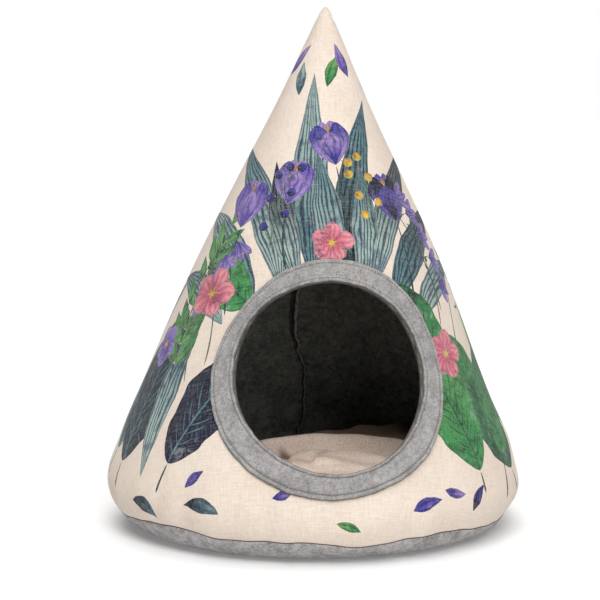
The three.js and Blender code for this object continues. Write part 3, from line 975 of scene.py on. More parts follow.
class Shader:
    """Short ways to build the nodes of one material."""

    def __init__(self, name):
        self.material = bpy.data.materials.new(name)
        self.material.use_nodes = True
        self.tree = self.material.node_tree
        self.surface = self.tree.nodes["Principled BSDF"]

    def node(self, kind, inputs=None, **settings):
        node = self.tree.nodes.new("ShaderNode" + kind)
        for key, value in settings.items():
            setattr(node, key, value)
        for key, value in (inputs or {}).items():
            self.feed(node.inputs[key], value)
        return node

    def feed(self, socket, value):
        if isinstance(value, bpy.types.NodeSocket):
            self.tree.links.new(value, socket)
        else:
            socket.default_value = value

    def calc(self, operation, *values):
        node = self.node("Math", operation=operation)
        for socket, value in zip(node.inputs, values):
            self.feed(socket, value)
        return node.outputs[0]

    def times(self, a, b):
        return self.calc("MULTIPLY", a, b)

    def blend(self, a, b, share, kind="MIX"):
        """Mixes two colours; the share is a number or a socket."""
        node = self.node("Mix", data_type="RGBA", blend_type=kind)
        self.feed(node.inputs[0], share)
        for socket, value in ((node.inputs[6], a), (node.inputs[7], b)):
            if not isinstance(value, bpy.types.NodeSocket):
                value = (*value[:3], 1)
            self.feed(socket, value)
        return node.outputs[2]

    def tinted(self, colour, tint):
        return self.blend(colour, tint, 1.0, "MULTIPLY")

    def attribute(self, name):
        return self.node("Attribute", attribute_name=name)

    def stretched(self, vector, scale, turn=(0, 0, 0)):
        node = self.node("Mapping", {"Vector": vector, "Scale": scale, "Rotation": turn})
        return node.outputs[0]

    def noise(self, vector, scale, detail=2.0, roughness=0.5, distortion=0.0):
        node = self.node("TexNoise", {
            "Vector": vector, "Scale": scale, "Detail": detail, "Roughness": roughness,
            "Distortion": distortion,
        })
        return node.outputs[0]

    def between(self, value, low, high, to_low=0.0, to_high=1.0):
        """Maps a range smoothly to another."""
        node = self.node("MapRange", {
            "Value": value, "From Min": low, "From Max": high, "To Min": to_low, "To Max": to_high,
        }, interpolation_type="SMOOTHSTEP")
        return node.outputs[0]

    def weighted(self, *parts):
        """The sum of several values, each times its weight."""
        total = None
        for value, weight in parts:
            part = self.times(value, weight)
            total = part if total is None else self.calc("ADD", total, part)
        return total

    def bump(self, height, distance, strength, normal=None):
        inputs = {"Height": height, "Distance": distance, "Strength": strength}
        if normal is not None:
            inputs["Normal"] = normal
        return self.node("Bump", inputs).outputs[0]

    def finish(self, colour, normal, **values):
        self.feed(self.surface.inputs["Base Color"], colour)
        self.feed(self.surface.inputs["Normal"], normal)
        for key, value in values.items():
            self.surface.inputs[key.replace("_", " ")].default_value = value
        return self.material


def in_millimetres(shader):
    """The place in the piece's own space, in millimetres."""
    place = shader.node("TexCoord").outputs["Object"]
    scale = (1 / MM, 1 / MM, 1 / MM)
    return shader.node("VectorMath", {0: place, 1: scale}, operation="MULTIPLY").outputs[0]


def felt_material(name, dark, light, fleck):
    """Pressed felt: clouds of lighter and darker wool, single fibres and dark flecks."""
    s = Shader(name)
    place = in_millimetres(s)
    clouds = s.noise(place, 0.07, 3, 0.6, 0.4)
    tufts = s.noise(place, 0.26, 3, 0.6, 0.9)
    fibres = s.noise(s.stretched(place, (0.3, 1.3, 1.7), (0.2, 0.5, 0.1)), 0.62, 2, 0.6, 1.2)
    cross = s.noise(s.stretched(place, (1.7, 1.3, 0.3), (0.1, -0.6, 0.3)), 0.62, 2, 0.6, 1.2)
    specks = s.noise(place, 0.85, 2, 0.65)
    mixed = s.weighted((clouds, 0.24), (tufts, 0.26), (fibres, 0.17), (cross, 0.17), (specks, 0.16))
    share = s.between(mixed, 0.4, 0.6)
    colour = s.blend(to_linear(dark), to_linear(light), share)
    warmer = s.tinted(colour, (1.0, 0.965, 0.95))
    colour = s.blend(colour, warmer, s.between(s.noise(place, 0.11, 2), 0.45, 0.62))
    flecks = s.between(s.noise(s.stretched(place, (1, 1, 0.6)), 0.6, 1, 0.5, 0.8), 0.68, 0.74)
    colour = s.blend(colour, to_linear(fleck), s.times(flecks, 0.7))
    # Cut edges turn brown, and the same colour is painted light on lips and ridge tops;
    # the shaded attribute paints shade into cut edges, grooves and creases
    edge = s.blend(*map(to_linear, CUT_EDGE_AND_PAINTED_LIGHT), share)
    colour = s.blend(colour, edge, s.times(s.attribute("edge_tone_and_painted_light").outputs["Fac"], 0.9))
    painted_shade_colour = s.tinted(colour, (0.2, 0.2, 0.19))
    colour = s.blend(colour, painted_shade_colour, s.attribute("shaded").outputs["Fac"])
    normal = s.bump(tufts, 0.001, 0.55)
    normal = s.bump(s.weighted((fibres, 0.4), (cross, 0.4), (specks, 0.5)), 0.0007, 0.8, normal)
    return s.finish(colour, normal, Roughness=0.96, Sheen_Weight=0.2, Sheen_Roughness=0.6,
                    Specular_IOR_Level=0.15)


THREAD_SPACING = 1.25


def linen_material():
    """Cream linen-look cloth with the painted print soaked into its threads."""
    s = Shader("printed_cloth")
    place = s.attribute("pattern").outputs["Vector"]
    ink = s.attribute("ink")
    tone = s.node("SeparateXYZ", {0: s.attribute("tone").outputs["Vector"]}).outputs
    style = s.node("SeparateXYZ", {0: s.attribute("style").outputs["Vector"]}).outputs[:3]
    along, across, edge = tone[0], tone[1], tone[2]
    count, seed, strength = style

    # Threads both ways, with thicker slubs here and there
    x_y = s.node("SeparateXYZ", {0: place}).outputs
    waver = s.times(s.noise(place, 0.16, 2), 6.0)
    slubs, fine, threads = [], [], []
    for axis in (0, 1):
        slubs.append((s.noise(s.stretched(place, ((1, 0.1, 1), (0.1, 1, 1))[axis]), 0.62, 2, 0.6), 0.5))
        fine.append((s.noise(s.stretched(place, ((1, 0.16, 1), (0.16, 1, 1))[axis]), 1.2, 1, 0.5), 0.3))
        phase = s.calc("ADD", s.times(x_y[axis], 2 * math.pi / THREAD_SPACING), waver)
        threads.append((s.calc("SINE", phase), 0.06))
    weave = s.weighted(*slubs, *fine, *threads)
    grain = s.noise(place, 0.7, 2, 0.7)

    # Bare cloth
    cloth = s.blend(*map(to_linear, CLOTH), s.between(weave, 0.58, 0.98))
    cloth = s.blend(cloth, to_linear(CLOTH_GRAIN), s.between(grain, 0.6, 0.72, 0.0, 0.3))
    aged = s.tinted(cloth, (0.97, 0.955, 0.94))
    cloth = s.blend(cloth, aged, s.between(s.noise(place, 0.02, 3), 0.4, 0.6))

    # Ink: flowing lines along each stroke, washes, darker pooled edges and pale patches
    flow_at = s.node("CombineXYZ", {0: s.times(along, 2.4), 1: s.times(across, 0.8), 2: seed})
    flow = s.noise(flow_at.outputs[0], 1.0, 2, 0.5)
    wash = s.noise(place, 0.055, 4, 0.6, 0.8)
    blots = s.noise(place, 0.16, 3, 0.6, 0.5)
    specks = s.noise(place, 0.55, 3, 0.75)
    phase = s.times(s.calc("ADD", across, s.times(flow, 1.1)), count)
    lines = s.calc("SINE", s.times(phase, math.pi))
    lines = s.weighted((lines, 0.5), (specks, 0.5), (blots, 1.1))
    lines = s.times(s.between(lines, 0.72, 1.12), strength)
    colour = ink.outputs["Color"]
    dark = s.tinted(colour, (0.36, 0.4, 0.52))
    darkest = s.tinted(colour, (0.1, 0.13, 0.2))
    pale = s.blend(colour, to_linear(THIN_INK), 0.45)
    depth = s.weighted((wash, 0.65), (blots, 0.35), (specks, 0.2))
    painted = s.blend(dark, colour, s.between(depth, 0.48, 0.62))
    painted = s.blend(painted, pale, s.between(depth, 0.66, 0.8))
    painted = s.blend(painted, darkest, lines)
    pooled = s.times(s.between(edge, 2.4, 0.3), s.between(blots, 0.38, 0.58, 0.25, 0.95))
    painted = s.blend(painted, dark, pooled)

    # The ink lies a little thinner on the raised threads and wavers at its edge
    cover = s.times(ink.outputs["Alpha"], s.between(weave, 0.75, 1.05, 1.0, 0.84))
    feather = s.between(s.calc("ADD", edge, s.times(specks, 1.3)), 0.5, 0.95)
    colour = s.blend(cloth, painted, s.times(cover, feather))
    normal = s.bump(weave, 0.0008, 0.8)
    return s.finish(colour, normal, Roughness=0.88, Sheen_Weight=0.1, Sheen_Roughness=0.5,
                    Specular_IOR_Level=0.2)


def plush_material():
    """Short cream pile: soft grain, brushed patches, a slight sheen and painted shade in its creases and
    behind the roll.
    """
    s = Shader("plush")
    place = in_millimetres(s)
    brushed = s.noise(s.stretched(place, (1, 0.5, 1)), 0.05, 3, 0.6, 0.8)
    pile = s.noise(place, 0.75, 3, 0.75)
    tips = s.noise(place, 1.7, 2, 0.7)
    share = s.between(s.weighted((brushed, 0.4), (pile, 0.3), (tips, 0.3)), 0.36, 0.6)
    colour = s.blend(*map(to_linear, PLUSH), share)
    curls = s.tinted(colour, (0.6, 0.5, 0.44))
    colour = s.blend(colour, curls, s.between(s.noise(place, 0.72, 1, 0.6), 0.54, 0.66, 0.0, 0.7))
    painted_shade_colour = s.tinted(colour, (0.17, 0.11, 0.08))
    colour = s.blend(colour, painted_shade_colour, s.attribute("shaded").outputs["Fac"])
    normal = s.bump(brushed, 0.002, 0.4)
    normal = s.bump(s.weighted((pile, 1.0), (tips, 0.6)), 0.0011, 0.9, normal)
    s.surface.inputs["Sheen Tint"].default_value = (1, 0.84, 0.72, 1)
    return s.finish(colour, normal, Roughness=1.0, Sheen_Weight=0.25, Sheen_Roughness=0.5,
                    Specular_IOR_Level=0.05)


def thread_material(name, dark, light):
    """Twisted thread, darker between its strands."""
    s = Shader(name)
    place = in_millimetres(s)
    twist = s.noise(s.stretched(place, (1, 1, 1), (0.4, 0.7, 0.2)), 1.6, 2, 0.6, 0.5)
    colour = s.blend(to_linear(dark), to_linear(light), s.between(twist, 0.35, 0.65))
    normal = s.bump(twist, 0.0002, 0.6)
    return s.finish(colour, normal, Roughness=0.75, Specular_IOR_Level=0.3)


# The doorway facing

OUTER_STITCH_INSET = 3.9
INNER_STITCH_INSET = 3.1
STITCH_GROOVE = 1.0
STITCH_GROOVE_HALF_WIDTH = 1.1
# Painted shade along the grooves: how deep, and its half width
STITCH_SHADE = 0.42
STITCH_SHADE_HALF_WIDTH = 0.8
STITCH_PITCH = 3.1
# The mean reach of each row of stitches, to count how many go round
INNER_STITCH_REACH, OUTER_STITCH_REACH = 92, 106.5
# The ends of a stitch lie so far under the facing's face and its middle rises so far
STITCH_SINKS, STITCH_RISES = 0.28, 0.42
RING_EDGE_ROUNDING = 1.6
RING_COLUMNS = 540
# Rows of points lie so far from each edge of the facing
RING_ROWS = (0, 0.25, 0.7, 1.3, 2, 2.6, 3.1, 3.5, 3.9, 4.5, 5.3, 6.6)


def ring_wobble(turn, seed):
    """The slight unevenness of a hand-cut edge."""
    return waves([(19, 0.22, seed), (34, 0.16, 2 * seed), (71, 0.1, seed)], turn)


def groove_strength(turn):
    """The grooves are pulled in more round the lower half."""
    return 0.15 + 0.85 * smoothstep(np.abs(wrapped(turn)), 55, 130)


def grooves(turn, inset, width, half_width):
    """How deep in the two grooves a place lies, so far out from the inner edge."""
    inner = bell((inset - INNER_STITCH_INSET) / half_width)
    outer = bell((width - inset - OUTER_STITCH_INSET) / half_width)
    return (inner + outer) * groove_strength(turn)


def ring_top(turn, inset, width):
    """How high the facing's face lies, so far out from its inner edge."""
    beyond = 1 - np.clip(np.minimum(inset, width - inset) / RING_EDGE_ROUNDING, 0, 1)
    rounding = RING_EDGE_ROUNDING * (1 - np.sqrt(1 - np.square(beyond)))
    swell = waves([(9, 0.16, inset * 0.21), (23, 0.12, -inset * 0.4)], turn)
    pulled = STITCH_GROOVE * grooves(turn, inset, width, STITCH_GROOVE_HALF_WIDTH)
    return RING_GAP + RING_THICKNESS - rounding - pulled + swell


def doorway_facing():
    """The facing in rows of points: from the middle of its underside outwards, round its
    outer edge, over its face and round its inner edge back."""
    turns = wrapped(-np.arange(RING_COLUMNS) * 360 / RING_COLUMNS)
    inner = ring_inner(turns) + ring_wobble(turns, 1.0)
    width = ring_outer(turns) + ring_wobble(turns, 4.0) - inner
    rows, shade = [], []

    def row(inset, lift):
        """Adds a row; in the grooves the facing's face gets painted shade."""
        rows.append(door_point(turns, inner + inset, RING_GAP + lift))
        on_face = RING_GAP + lift > RING_THICKNESS / 2
        shade.append(STITCH_SHADE * grooves(turns, inset, width, STITCH_SHADE_HALF_WIDTH) * on_face)

    def face_row(inset):
        row(inset, ring_top(turns, inset, width) - RING_GAP)

    row(width * 0.5, 0)
    row(width * 0.75, 0)
    # Low down the underside juts out a little beyond the cut edge; there painted shade and the
    # brown cut-edge colour draw a thin dark brown line
    ledge = 0.9 * smoothstep(np.abs(turns), 55, 110)
    row(width + ledge, 0.2)
    row(width + ledge + 0.1, 1)
    row(width + 0.25, 1.9)
    for inset in RING_ROWS:
        face_row(width - inset)
    for share in np.linspace(0, 1, 9)[1:-1]:
        face_row((width - RING_ROWS[-1]) * (1 - share) + RING_ROWS[-1] * share)
    for inset in RING_ROWS[::-1]:
        face_row(inset)
    for share in (0.52, 0.28):
        row(-0.25, RING_THICKNESS * share)
    for share in (0, 0.25):
        row(width * share, 0)
    faces = grid_faces(len(rows), RING_COLUMNS, closed_rows=True)
    piece = new_object("entrance_ring", np.vstack(rows), faces)
    # The cut edges are browner and get painted shade; on the lips beyond the grooves the edge
    # colour is painted light, paler as if the rounded edge caught the light
    edge_tone_and_painted_light, depth = np.zeros(len(rows)), np.zeros(len(rows))
    edge_tone_and_painted_light[:8] = (0, 0.8, 0.8, 0.8, 0.8, 0.3, 0.3, 0.3)
    depth[:6] = (0, 0.9, 0.9, 0.85, 0.6, 0.1)
    edge_tone_and_painted_light[-7:] = (0.1, 0.2, 0.4, 0.5, 0.5, 0.5, 0.5)
    depth[-6:] = (0.32, 0.86, 0.84, 0.84, 0.9, 0.9)
    set_point_values(piece, "edge_tone_and_painted_light", np.repeat(edge_tone_and_painted_light, RING_COLUMNS))
    set_point_values(piece, "shaded", (depth[:, None] + np.array(shade)).ravel())
    return piece


def tubes(paths, radii, sides=6):
    """Round cords along many paths of the same number of points."""
    points, faces = [], []
    for path, radius in zip(paths, radii):
        ahead = np.gradient(path, axis=0)
        ahead /= np.linalg.norm(ahead, axis=1)[:, None]
        up = np.array([0.3, 0.2, 0.93])
        first = np.cross(ahead, up)
        first /= np.linalg.norm(first, axis=1)[:, None]
        second = np.cross(ahead, first)
        turns = np.arange(sides)[:, None] * 2 * math.pi / sides
        spokes = first[:, None] * np.cos(turns) + second[:, None] * np.sin(turns)
        faces += capped_faces(len(path), sides, sum(map(len, points)))
        points.append((path[:, None] + spokes * np.asarray(radius)[:, None, None]).reshape(-1, 3))
    return np.vstack(points), faces


def ring_stitches():
    """Running stitches in the two grooves of the facing, each a short humped cord."""
    share = np.linspace(0.08, 0.86, 7)
    hump = np.sin(np.linspace(0, math.pi, 7))
    paths = []
    for reach in (INNER_STITCH_REACH, OUTER_STITCH_REACH):
        count = int(2 * math.pi * reach / STITCH_PITCH)
        for i in range(count):
            turn = wrapped((i + share) * 360 / count)
            inner = ring_inner(turn)
            width = ring_outer(turn) - inner
            inset = INNER_STITCH_INSET if reach == INNER_STITCH_REACH else width - OUTER_STITCH_INSET
            lift = ring_top(turn, inset, width) - STITCH_SINKS + STITCH_RISES * hump
            paths.append(door_point(turn, inner + inset, lift))
    points, faces = tubes(paths, [0.2 + 0.17 * hump**0.5] * len(paths))
    return new_object("ring_stitches", points, faces)


# The base, its seam and the seam inside the back

# Radii of the rows of points on the base's underside and on its upper face
UNDERSIDE_ROWS = (0.5, 40, 90, 125, 142, FLOOR_RADIUS)
UPPER_ROWS = (FLOOR_RADIUS, 142, 90, 40, 0.5)
# The thread between cover and base: its radius, how deep it lies, its points and how
# often it goes round the edge
HEM_THREAD_RADIUS = 0.55
HEM_THREAD_DEPTH = 0.75
HEM_THREAD_STEPS, HEM_THREAD_WRAPS = 1500, 420


def felt_base():
    """A felt dish: flat on the floor, turned up to the seam with the cover."""
    columns = 360
    angles = -180 + np.arange(columns) * 360 / columns
    seam = hem_height(wrapped(angles)) - GAP / 2
    whole_way = np.arccos(1 - seam / WIDEST_HEIGHT)

    def flat_row(radius, height):
        return circle(radius, height, np.radians(angles))

    def rim_row(way, depth):
        """A row of the rim, at a share of the way from the floor up to the seam."""
        return wall_point(angles, WIDEST_HEIGHT * (1 - np.cos(whole_way * way)), depth)

    rows = [flat_row(radius, 0) for radius in UNDERSIDE_ROWS]
    ways = np.linspace(0, 1, 19)[1:]
    rows += [rim_row(way, 0) for way in ways[:-1]]
    rows += [rim_row(0.985, 0.12), rim_row(1, 0.7), rim_row(1, WALL_THICKNESS - 0.6)]
    rows += [rim_row(way, WALL_THICKNESS) for way in ways[-2::-1]]
    rows += [flat_row(radius, WALL_THICKNESS) for radius in UPPER_ROWS]
    return new_object("base", np.vstack(rows), capped_faces(len(rows), columns))


def hem_thread():
    """The dark overcast edge that shows between the cover and the base."""
    angles = np.append(np.arange(HEM_THREAD_STEPS) * 360 / HEM_THREAD_STEPS, 360) - 180
    wraps = np.sin(np.radians(angles) * HEM_THREAD_WRAPS)
    depth = HEM_THREAD_DEPTH - 0.16 * np.abs(wraps)
    path = wall_point(angles, hem_height(wrapped(angles)), depth)
    points, faces = tubes([path], [HEM_THREAD_RADIUS + 0.12 * wraps], 7)
    return new_object("hem_seam", points, faces)


# The lining's seam allowance inside the back: the heights between which it stands, and
# for each height its sideways place and how far its edges part there
RIDGE_FOOT, RIDGE_END, RIDGE_FADES_FROM = 30, 452, 395
RIDGE_STATIONS = [
    (30, 1, 0), (52, 0.7, 0), (60, 1.2, 0), (68, 4.6, 0), (76, 5.9, 0), (91, 5, 0), (114, 4.2, 0.1),
    (131, 3.0, 0), (140, 0, 0.1), (149, -5.0, 0.5), (156, -4.8, 0.8), (166, -8.2, 0.9), (178, -10.6, 1),
    (190, -10.2, 1), (213, -10, 1), (250, -6, 1), (330, 1, 0.7), (TOTAL_HEIGHT, 0, 0),
]
ridge_aside = smooth_curve(RIDGE_STATIONS, 1, "straight")
ridge_open = smooth_curve(RIDGE_STATIONS, 2, "straight")


def back_seam_ridge():
    """The felt edges of the lining's back seam stand inwards: pressed together low
    down, parted and curling over higher up."""
    heights = np.arange(RIDGE_FOOT, RIDGE_END, 1.6)
    parted = ridge_open(heights)
    fade = 1 - smoothstep(heights, RIDGE_FADES_FROM, RIDGE_END)
    crinkle = 0.45 * np.sin(heights / 2.3 + 2 * np.sin(heights / 11)) + 0.3 * np.sin(heights / 1.1)
    edge = ridge_aside(heights) + crinkle
    tall = (7.2 + 0.7 * np.sin(heights / 9 + np.sin(heights / 23)) + 0.5 * np.sin(heights / 3.1)) * fade
    half = 0.75 + 0.85 * parted + 0.25 * np.sin(heights / 4.3)
    left = 1.8 + 4.4 * parted
    right = 1.3 + 1.2 * parted
    # Sideways place from the edge, share of the height, how much of the paler edge colour the
    # felt takes, partly its cut edge and partly painted light, and how deep its painted shade is,
    # from the wall on the left to the wall on the right
    profile = [
        (-left - 1.6, -0.06, 0, 0), (-left, 0.02, 0, 0.7), (-left * 0.5, 0.03, 0, 1),
        (-half * 0.8, 0.08, 0, 1), (-half * 0.9, 0.6, 0, 0.9), (-half, 0.9, 0.3, 0.2),
        (-half * 0.75, 1, 1, 0), (0, 1.03, 1, 0), (half * 0.75, 1, 1, 0),
        (half, 0.88, 0.5, 0.1), (half * 0.9, 0.5, 0, 0.8), (half * 0.8, 0.08, 0, 1),
        (right * 0.8, 0.03, 0, 0.9), (right, 0.02, 0, 0.5), (right + 1.4, -0.06, 0, 0),
    ]
    points = []
    for aside, share, *_ in profile:
        swing = np.degrees((edge + aside) / np.maximum(even_radius(heights), 22))
        points.append(wall_point(DOOR_ANGLE + 180 - swing, heights, WALL_THICKNESS + share * tall))
    faces = capped_faces(len(heights), len(profile))
    piece = new_object("back_seam", np.stack(points, 1).reshape(-1, 3), faces)
    pale, shade = (np.array([row[column] for row in profile], float) for column in (2, 3))
    set_point_values(piece, "edge_tone_and_painted_light", 0.85 * np.tile(pale, len(heights)))
    set_point_values(piece, "shaded", np.outer(0.55 + 0.45 * parted, shade).ravel())
    return piece


# The cushion

CUSHION_RADIUS = 174
CUSHION_TOP = 74
CUSHION_SEAM_HEIGHT = 34
CUSHION_BOTTOM = WALL_THICKNESS + GAP
# Between its underside and its edge seam the cushion passes this share and height
CUSHION_FLANK = (0.94, 16)
CROWN_FULLNESS = 3.2
CUSHION_PUCKERS = 12
# The simulation fills the cushion from a start that is smaller all round
FILLING_ROOM = 4
FILLING_FRAMES = 20
CUSHION_GRID = 4.4
# Soft swells of the crown: x, y, reach and rise
CUSHION_SWELLS = [
    (12, -108, 46, 3), (-60, 125, 60, -11), (88, 105, 55, 13), (25, 30, 50, -3), (-110, -20, 45, 3),
]
# The slack crown is pressed in before the doorway and lies in folds round that hollow.
# Of each: x, y, half width and half depth of its crest, how high that is, how wide the
# face before it and how deep the drop behind it. Each lies over the ones before it.
HOLLOW_HEIGHT = 61.5
CUSHION_FOLDS = [
    (1.5, -56, 27, 47, 73.0, 26, 4.5), (31, -76, 36, 64, 72.4, 28, 4.5), (14, -95, 42, 54, 65.8, 14, 1.6),
]
# The roll outside them rises slowly and then steeply, and the crown falls away behind.
# The roll has x, y, half width and half depth, each slope its height and its reach.
ROLL = (15, -90, 92, 117)
ROLL_SLOPE = (8, 60)
ROLL_FACE = (12.4, 15)
BACK_FALL = (22, 44)
# A lower ridge stands behind the roll: x, and how high it is there
BACK_RIDGE = [
    (-40, 64), (4, 71.9), (19, 74.3), (34, 74.3), (44, 75.7), (52, 78.8), (64, 79.5),
    (74, 79.1), (85, 80.4), (95, 81), (103, 78.1), (109, 75.7), (140, 62),
]
back_ridge = smooth_curve(BACK_RIDGE, 1, "straight")
# Where that ridge's crest lies, and how soon it falls away
BACK_RIDGE_PLACE, BACK_RIDGE_REACH, BACK_RIDGE_FALL = 80, 34, 14
# The spot where the folds are pinched together, also darkened with painted shade: x, y,
# half width, half depth and depth
PINCH = (-28, -12, 7.2, 10, 2.5)
# How deep the painted shade is in the creases, at the foot of the roll and behind it
CREASE_SHADE, FOOT_SHADE, BACK_SHADE = 0.33, 0.22, 0.98
# The folds fade in over these heights and out towards the cushion's edge
FOLDS_ABOVE = (44, 56)
FOLDS_WITHIN = (160, 122)


def cushion_start():
    """The cushion before it is filled: a dished underside, an edge seam and a crown."""
    columns, crown_rows = 96, 22
    angles = np.arange(columns) * 2 * math.pi / columns
    drawn_in = 1.6 * (1 + np.cos(angles * CUSHION_PUCKERS)) * (1 + 0.4 * np.sin(angles * 2))
    edge = CUSHION_RADIUS - drawn_in - FILLING_ROOM

    def crown(points):
        """How high the crown stands over the seam."""
        x, y, _ = points.T
        full = np.sqrt(1 - np.clip(np.hypot(x, y) / CUSHION_RADIUS, 0, 1) ** CROWN_FULLNESS)
        rise = CUSHION_TOP - CUSHION_SEAM_HEIGHT - 6
        for at_x, at_y, reach, size in CUSHION_SWELLS:
            rise = rise + size * bell(np.hypot(x - at_x, y - at_y) / reach)
        return full * rise

    levels = [(share, CUSHION_BOTTOM + 1) for share in np.linspace(0.02, 0.84, 9)]
    levels += [CUSHION_FLANK, (1, CUSHION_SEAM_HEIGHT)]
    rows = [circle(edge * share, height, angles) for share, height in levels]
    for i in range(1, crown_rows):
        row = circle(edge * math.cos(i / crown_rows * math.pi / 2), CUSHION_SEAM_HEIGHT, angles)
        row[:, 2] += crown(row)
        rows.append(row)
    return new_object("cushion", np.vstack(rows), capped_faces(len(rows), columns))


def apply_modifiers(piece):
    """Replaces a piece's mesh by what its modifiers make of it."""
    graph = bpy.context.evaluated_depsgraph_get()
    made = bpy.data.meshes.new_from_object(piece.evaluated_get(graph))
    piece.modifiers.clear()
    old, piece.data = piece.data, made
    bpy.data.meshes.remove(old)


def vertex_places(piece):
    """The points of a piece in millimetres."""
    places = np.empty(len(piece.data.vertices) * 3)
    piece.data.vertices.foreach_get("co", places)
    return places.reshape(-1, 3) / MM


def set_vertex_places(piece, places):
    piece.data.vertices.foreach_set("co", (places * MM).ravel())
    piece.data.update()


def inflate(piece, held, pressure, most):
    """Fills a cushion by cloth simulation. The held share of each point stays put, and
    no point moves further than the most."""
    before = vertex_places(piece)
    group = piece.vertex_groups.new(name="held")
    for weight in range(1, 11):
        chosen = np.flatnonzero(np.round(held(before) * 10) == weight)
        group.add(chosen.tolist(), weight / 10, "REPLACE")
    cloth = piece.modifiers.new("filling", "CLOTH")
    settings = cloth.settings
    settings.quality = 6
    settings.mass = 0.2
    settings.tension_stiffness = 12
    settings.compression_stiffness = 12
    settings.bending_stiffness = 0.4
    settings.use_pressure = True
    settings.uniform_pressure_force = pressure
    settings.effector_weights.gravity = 0
    settings.vertex_group_mass = "held"
    cloth.point_cache.frame_start = 1
    cloth.point_cache.frame_end = FILLING_FRAMES
    for frame_number in range(1, FILLING_FRAMES + 1):
        bpy.context.scene.frame_set(frame_number)
    filled = piece.evaluated_get(bpy.context.evaluated_depsgraph_get())
    moved = vertex_places(filled) - before
    distance = np.linalg.norm(moved, axis=1)
    moved *= (most * np.tanh(distance / most) / np.maximum(distance, 1e-6))[:, None]
    piece.modifiers.clear()
    piece.vertex_groups.clear()
    set_vertex_places(piece, before + moved)
    bpy.context.scene.frame_set(1)


def held_parts(places):
    """The edge seam, gathered more firmly at its puckers, and the underside."""
    angle = np.arctan2(places[:, 1], places[:, 0])
    radius = np.hypot(places[:, 0], places[:, 1])
    seam = bell((places[:, 2] - CUSHION_SEAM_HEIGHT) / 5) * smoothstep(radius, 150, 165)
    seam *= 0.55 + 0.45 * np.cos(angle * CUSHION_PUCKERS)
    under = smoothstep(places[:, 2], 16, 8)
    return np.clip(np.maximum(seam, under), 0, 1)


def from_ellipse(x, y, at_x, at_y, half_width, half_depth):
    """How far points lie outside an ellipse, or inside it if less than zero."""
    share = np.hypot((x - at_x) / half_width, (y - at_y) / half_depth)
    return (share - 1) * min(half_width, half_depth)


def rounded_rise(beyond, width):
    """From 0 to 1 over a width, steep at first and level at the crest."""
    return np.sin(np.clip(1 + beyond / width, 0, 1) * math.pi / 2) ** 1.3


def folded(places):
    """Lays the slack cloth of the crown in soft folds round a hollow. Gives the new
    places and how deep the painted shade on each lies."""
    x, y, z = places.T
    level = HOLLOW_HEIGHT + 0 * x
    shade = 0 * x
    for *ellipse, top, width, drop in CUSHION_FOLDS:
        beyond = from_ellipse(x, y, *ellipse)
        fold = HOLLOW_HEIGHT + (top - HOLLOW_HEIGHT) * rounded_rise(beyond, width)
        fold -= drop * smoothstep(beyond, 0, 6) + 0.25 * np.maximum(beyond, 0)
        on_top = smoothstep(beyond, 2, -4)
        level = np.maximum(level, fold) * (1 - on_top) + fold * on_top
        shade = np.maximum(shade * (1 - on_top), CREASE_SHADE * bell((beyond - 3) / 3.5))
    beyond = from_ellipse(x, y, *ROLL)
    roll = HOLLOW_HEIGHT + ROLL_SLOPE[0] * smoothstep(beyond, -ROLL_SLOPE[1], 0)
    roll += ROLL_FACE[0] * rounded_rise(beyond, ROLL_FACE[1])
    shade *= smoothstep(roll - level, 2, -1)
    level = np.maximum(level, roll)
    shade = np.maximum(shade, FOOT_SHADE * bell((beyond + 11) / 7))
    level -= BACK_FALL[0] * smoothstep(beyond, -2, BACK_FALL[1])
    beyond = (y - BACK_RIDGE_PLACE) / BACK_RIDGE_REACH
    level = np.logaddexp(level, back_ridge(x) - BACK_RIDGE_FALL * np.square(beyond))
    shade = np.maximum(shade, (BACK_SHADE - 0.15 * smoothstep(x, 40, 90)) * smoothstep(y, 42, 62))
    *ellipse, deep = PINCH
    pinched = bell(1 + from_ellipse(x, y, *ellipse) / min(ellipse[2:]))
    level -= deep * pinched
    level += 0.6 * np.sin(x / 9 + y / 17) * np.sin(y / 11 - x / 23)
    shade = np.maximum(shade, np.minimum(1.2 * pinched, 0.95))
    chosen = smoothstep(z, *FOLDS_ABOVE) * smoothstep(np.hypot(x, y), *FOLDS_WITHIN)
    return np.stack([x, y, z + (level - z) * chosen], -1), shade * chosen


def plush_cushion():
    """The cushion, filled by the simulation and then folded."""
    piece = cushion_start()
    remesh = piece.modifiers.new("even", "REMESH")
    remesh.mode = "VOXEL"
    remesh.voxel_size = CUSHION_GRID * MM
    apply_modifiers(piece)
    inflate(piece, held_parts, pressure=4, most=8)
    piece.modifiers.new("finer", "SUBSURF").levels = 1
    apply_modifiers(piece)
    places, shade = folded(vertex_places(piece))
    places[:, 2] = np.maximum(places[:, 2], CUSHION_BOTTOM)
    set_vertex_places(piece, places)
    set_point_values(piece, "shaded", shade)
    piece.data.shade_smooth()
    return piece


# The stage

# The camera's fit to the photograph, which is square: where it stands, in degrees and
# metres, the pixels to a metre at the target and how far the target lies off the middle
CAMERA_AZIMUTH, CAMERA_ELEVATION, CAMERA_DISTANCE = -5.03, 6.73, 2.2
TARGET = Vector((0, 0, 0.230))
PHOTO_PIXELS = 600
PIXELS_PER_METRE = 1033.6
TARGET_RIGHT, TARGET_UP = 13.08, 12.15
SUN_DISTANCE = 3

WHITE = (1, 1, 1)
WARM_WHITE = (1, 0.995, 0.985)
WORLD_LIGHT = 0.004
GROUND_ROWS = (1, 400, 1500, 9000)
GROUND_TONES = (0.77, 0.79)
GROUND_GLOW = 0.15
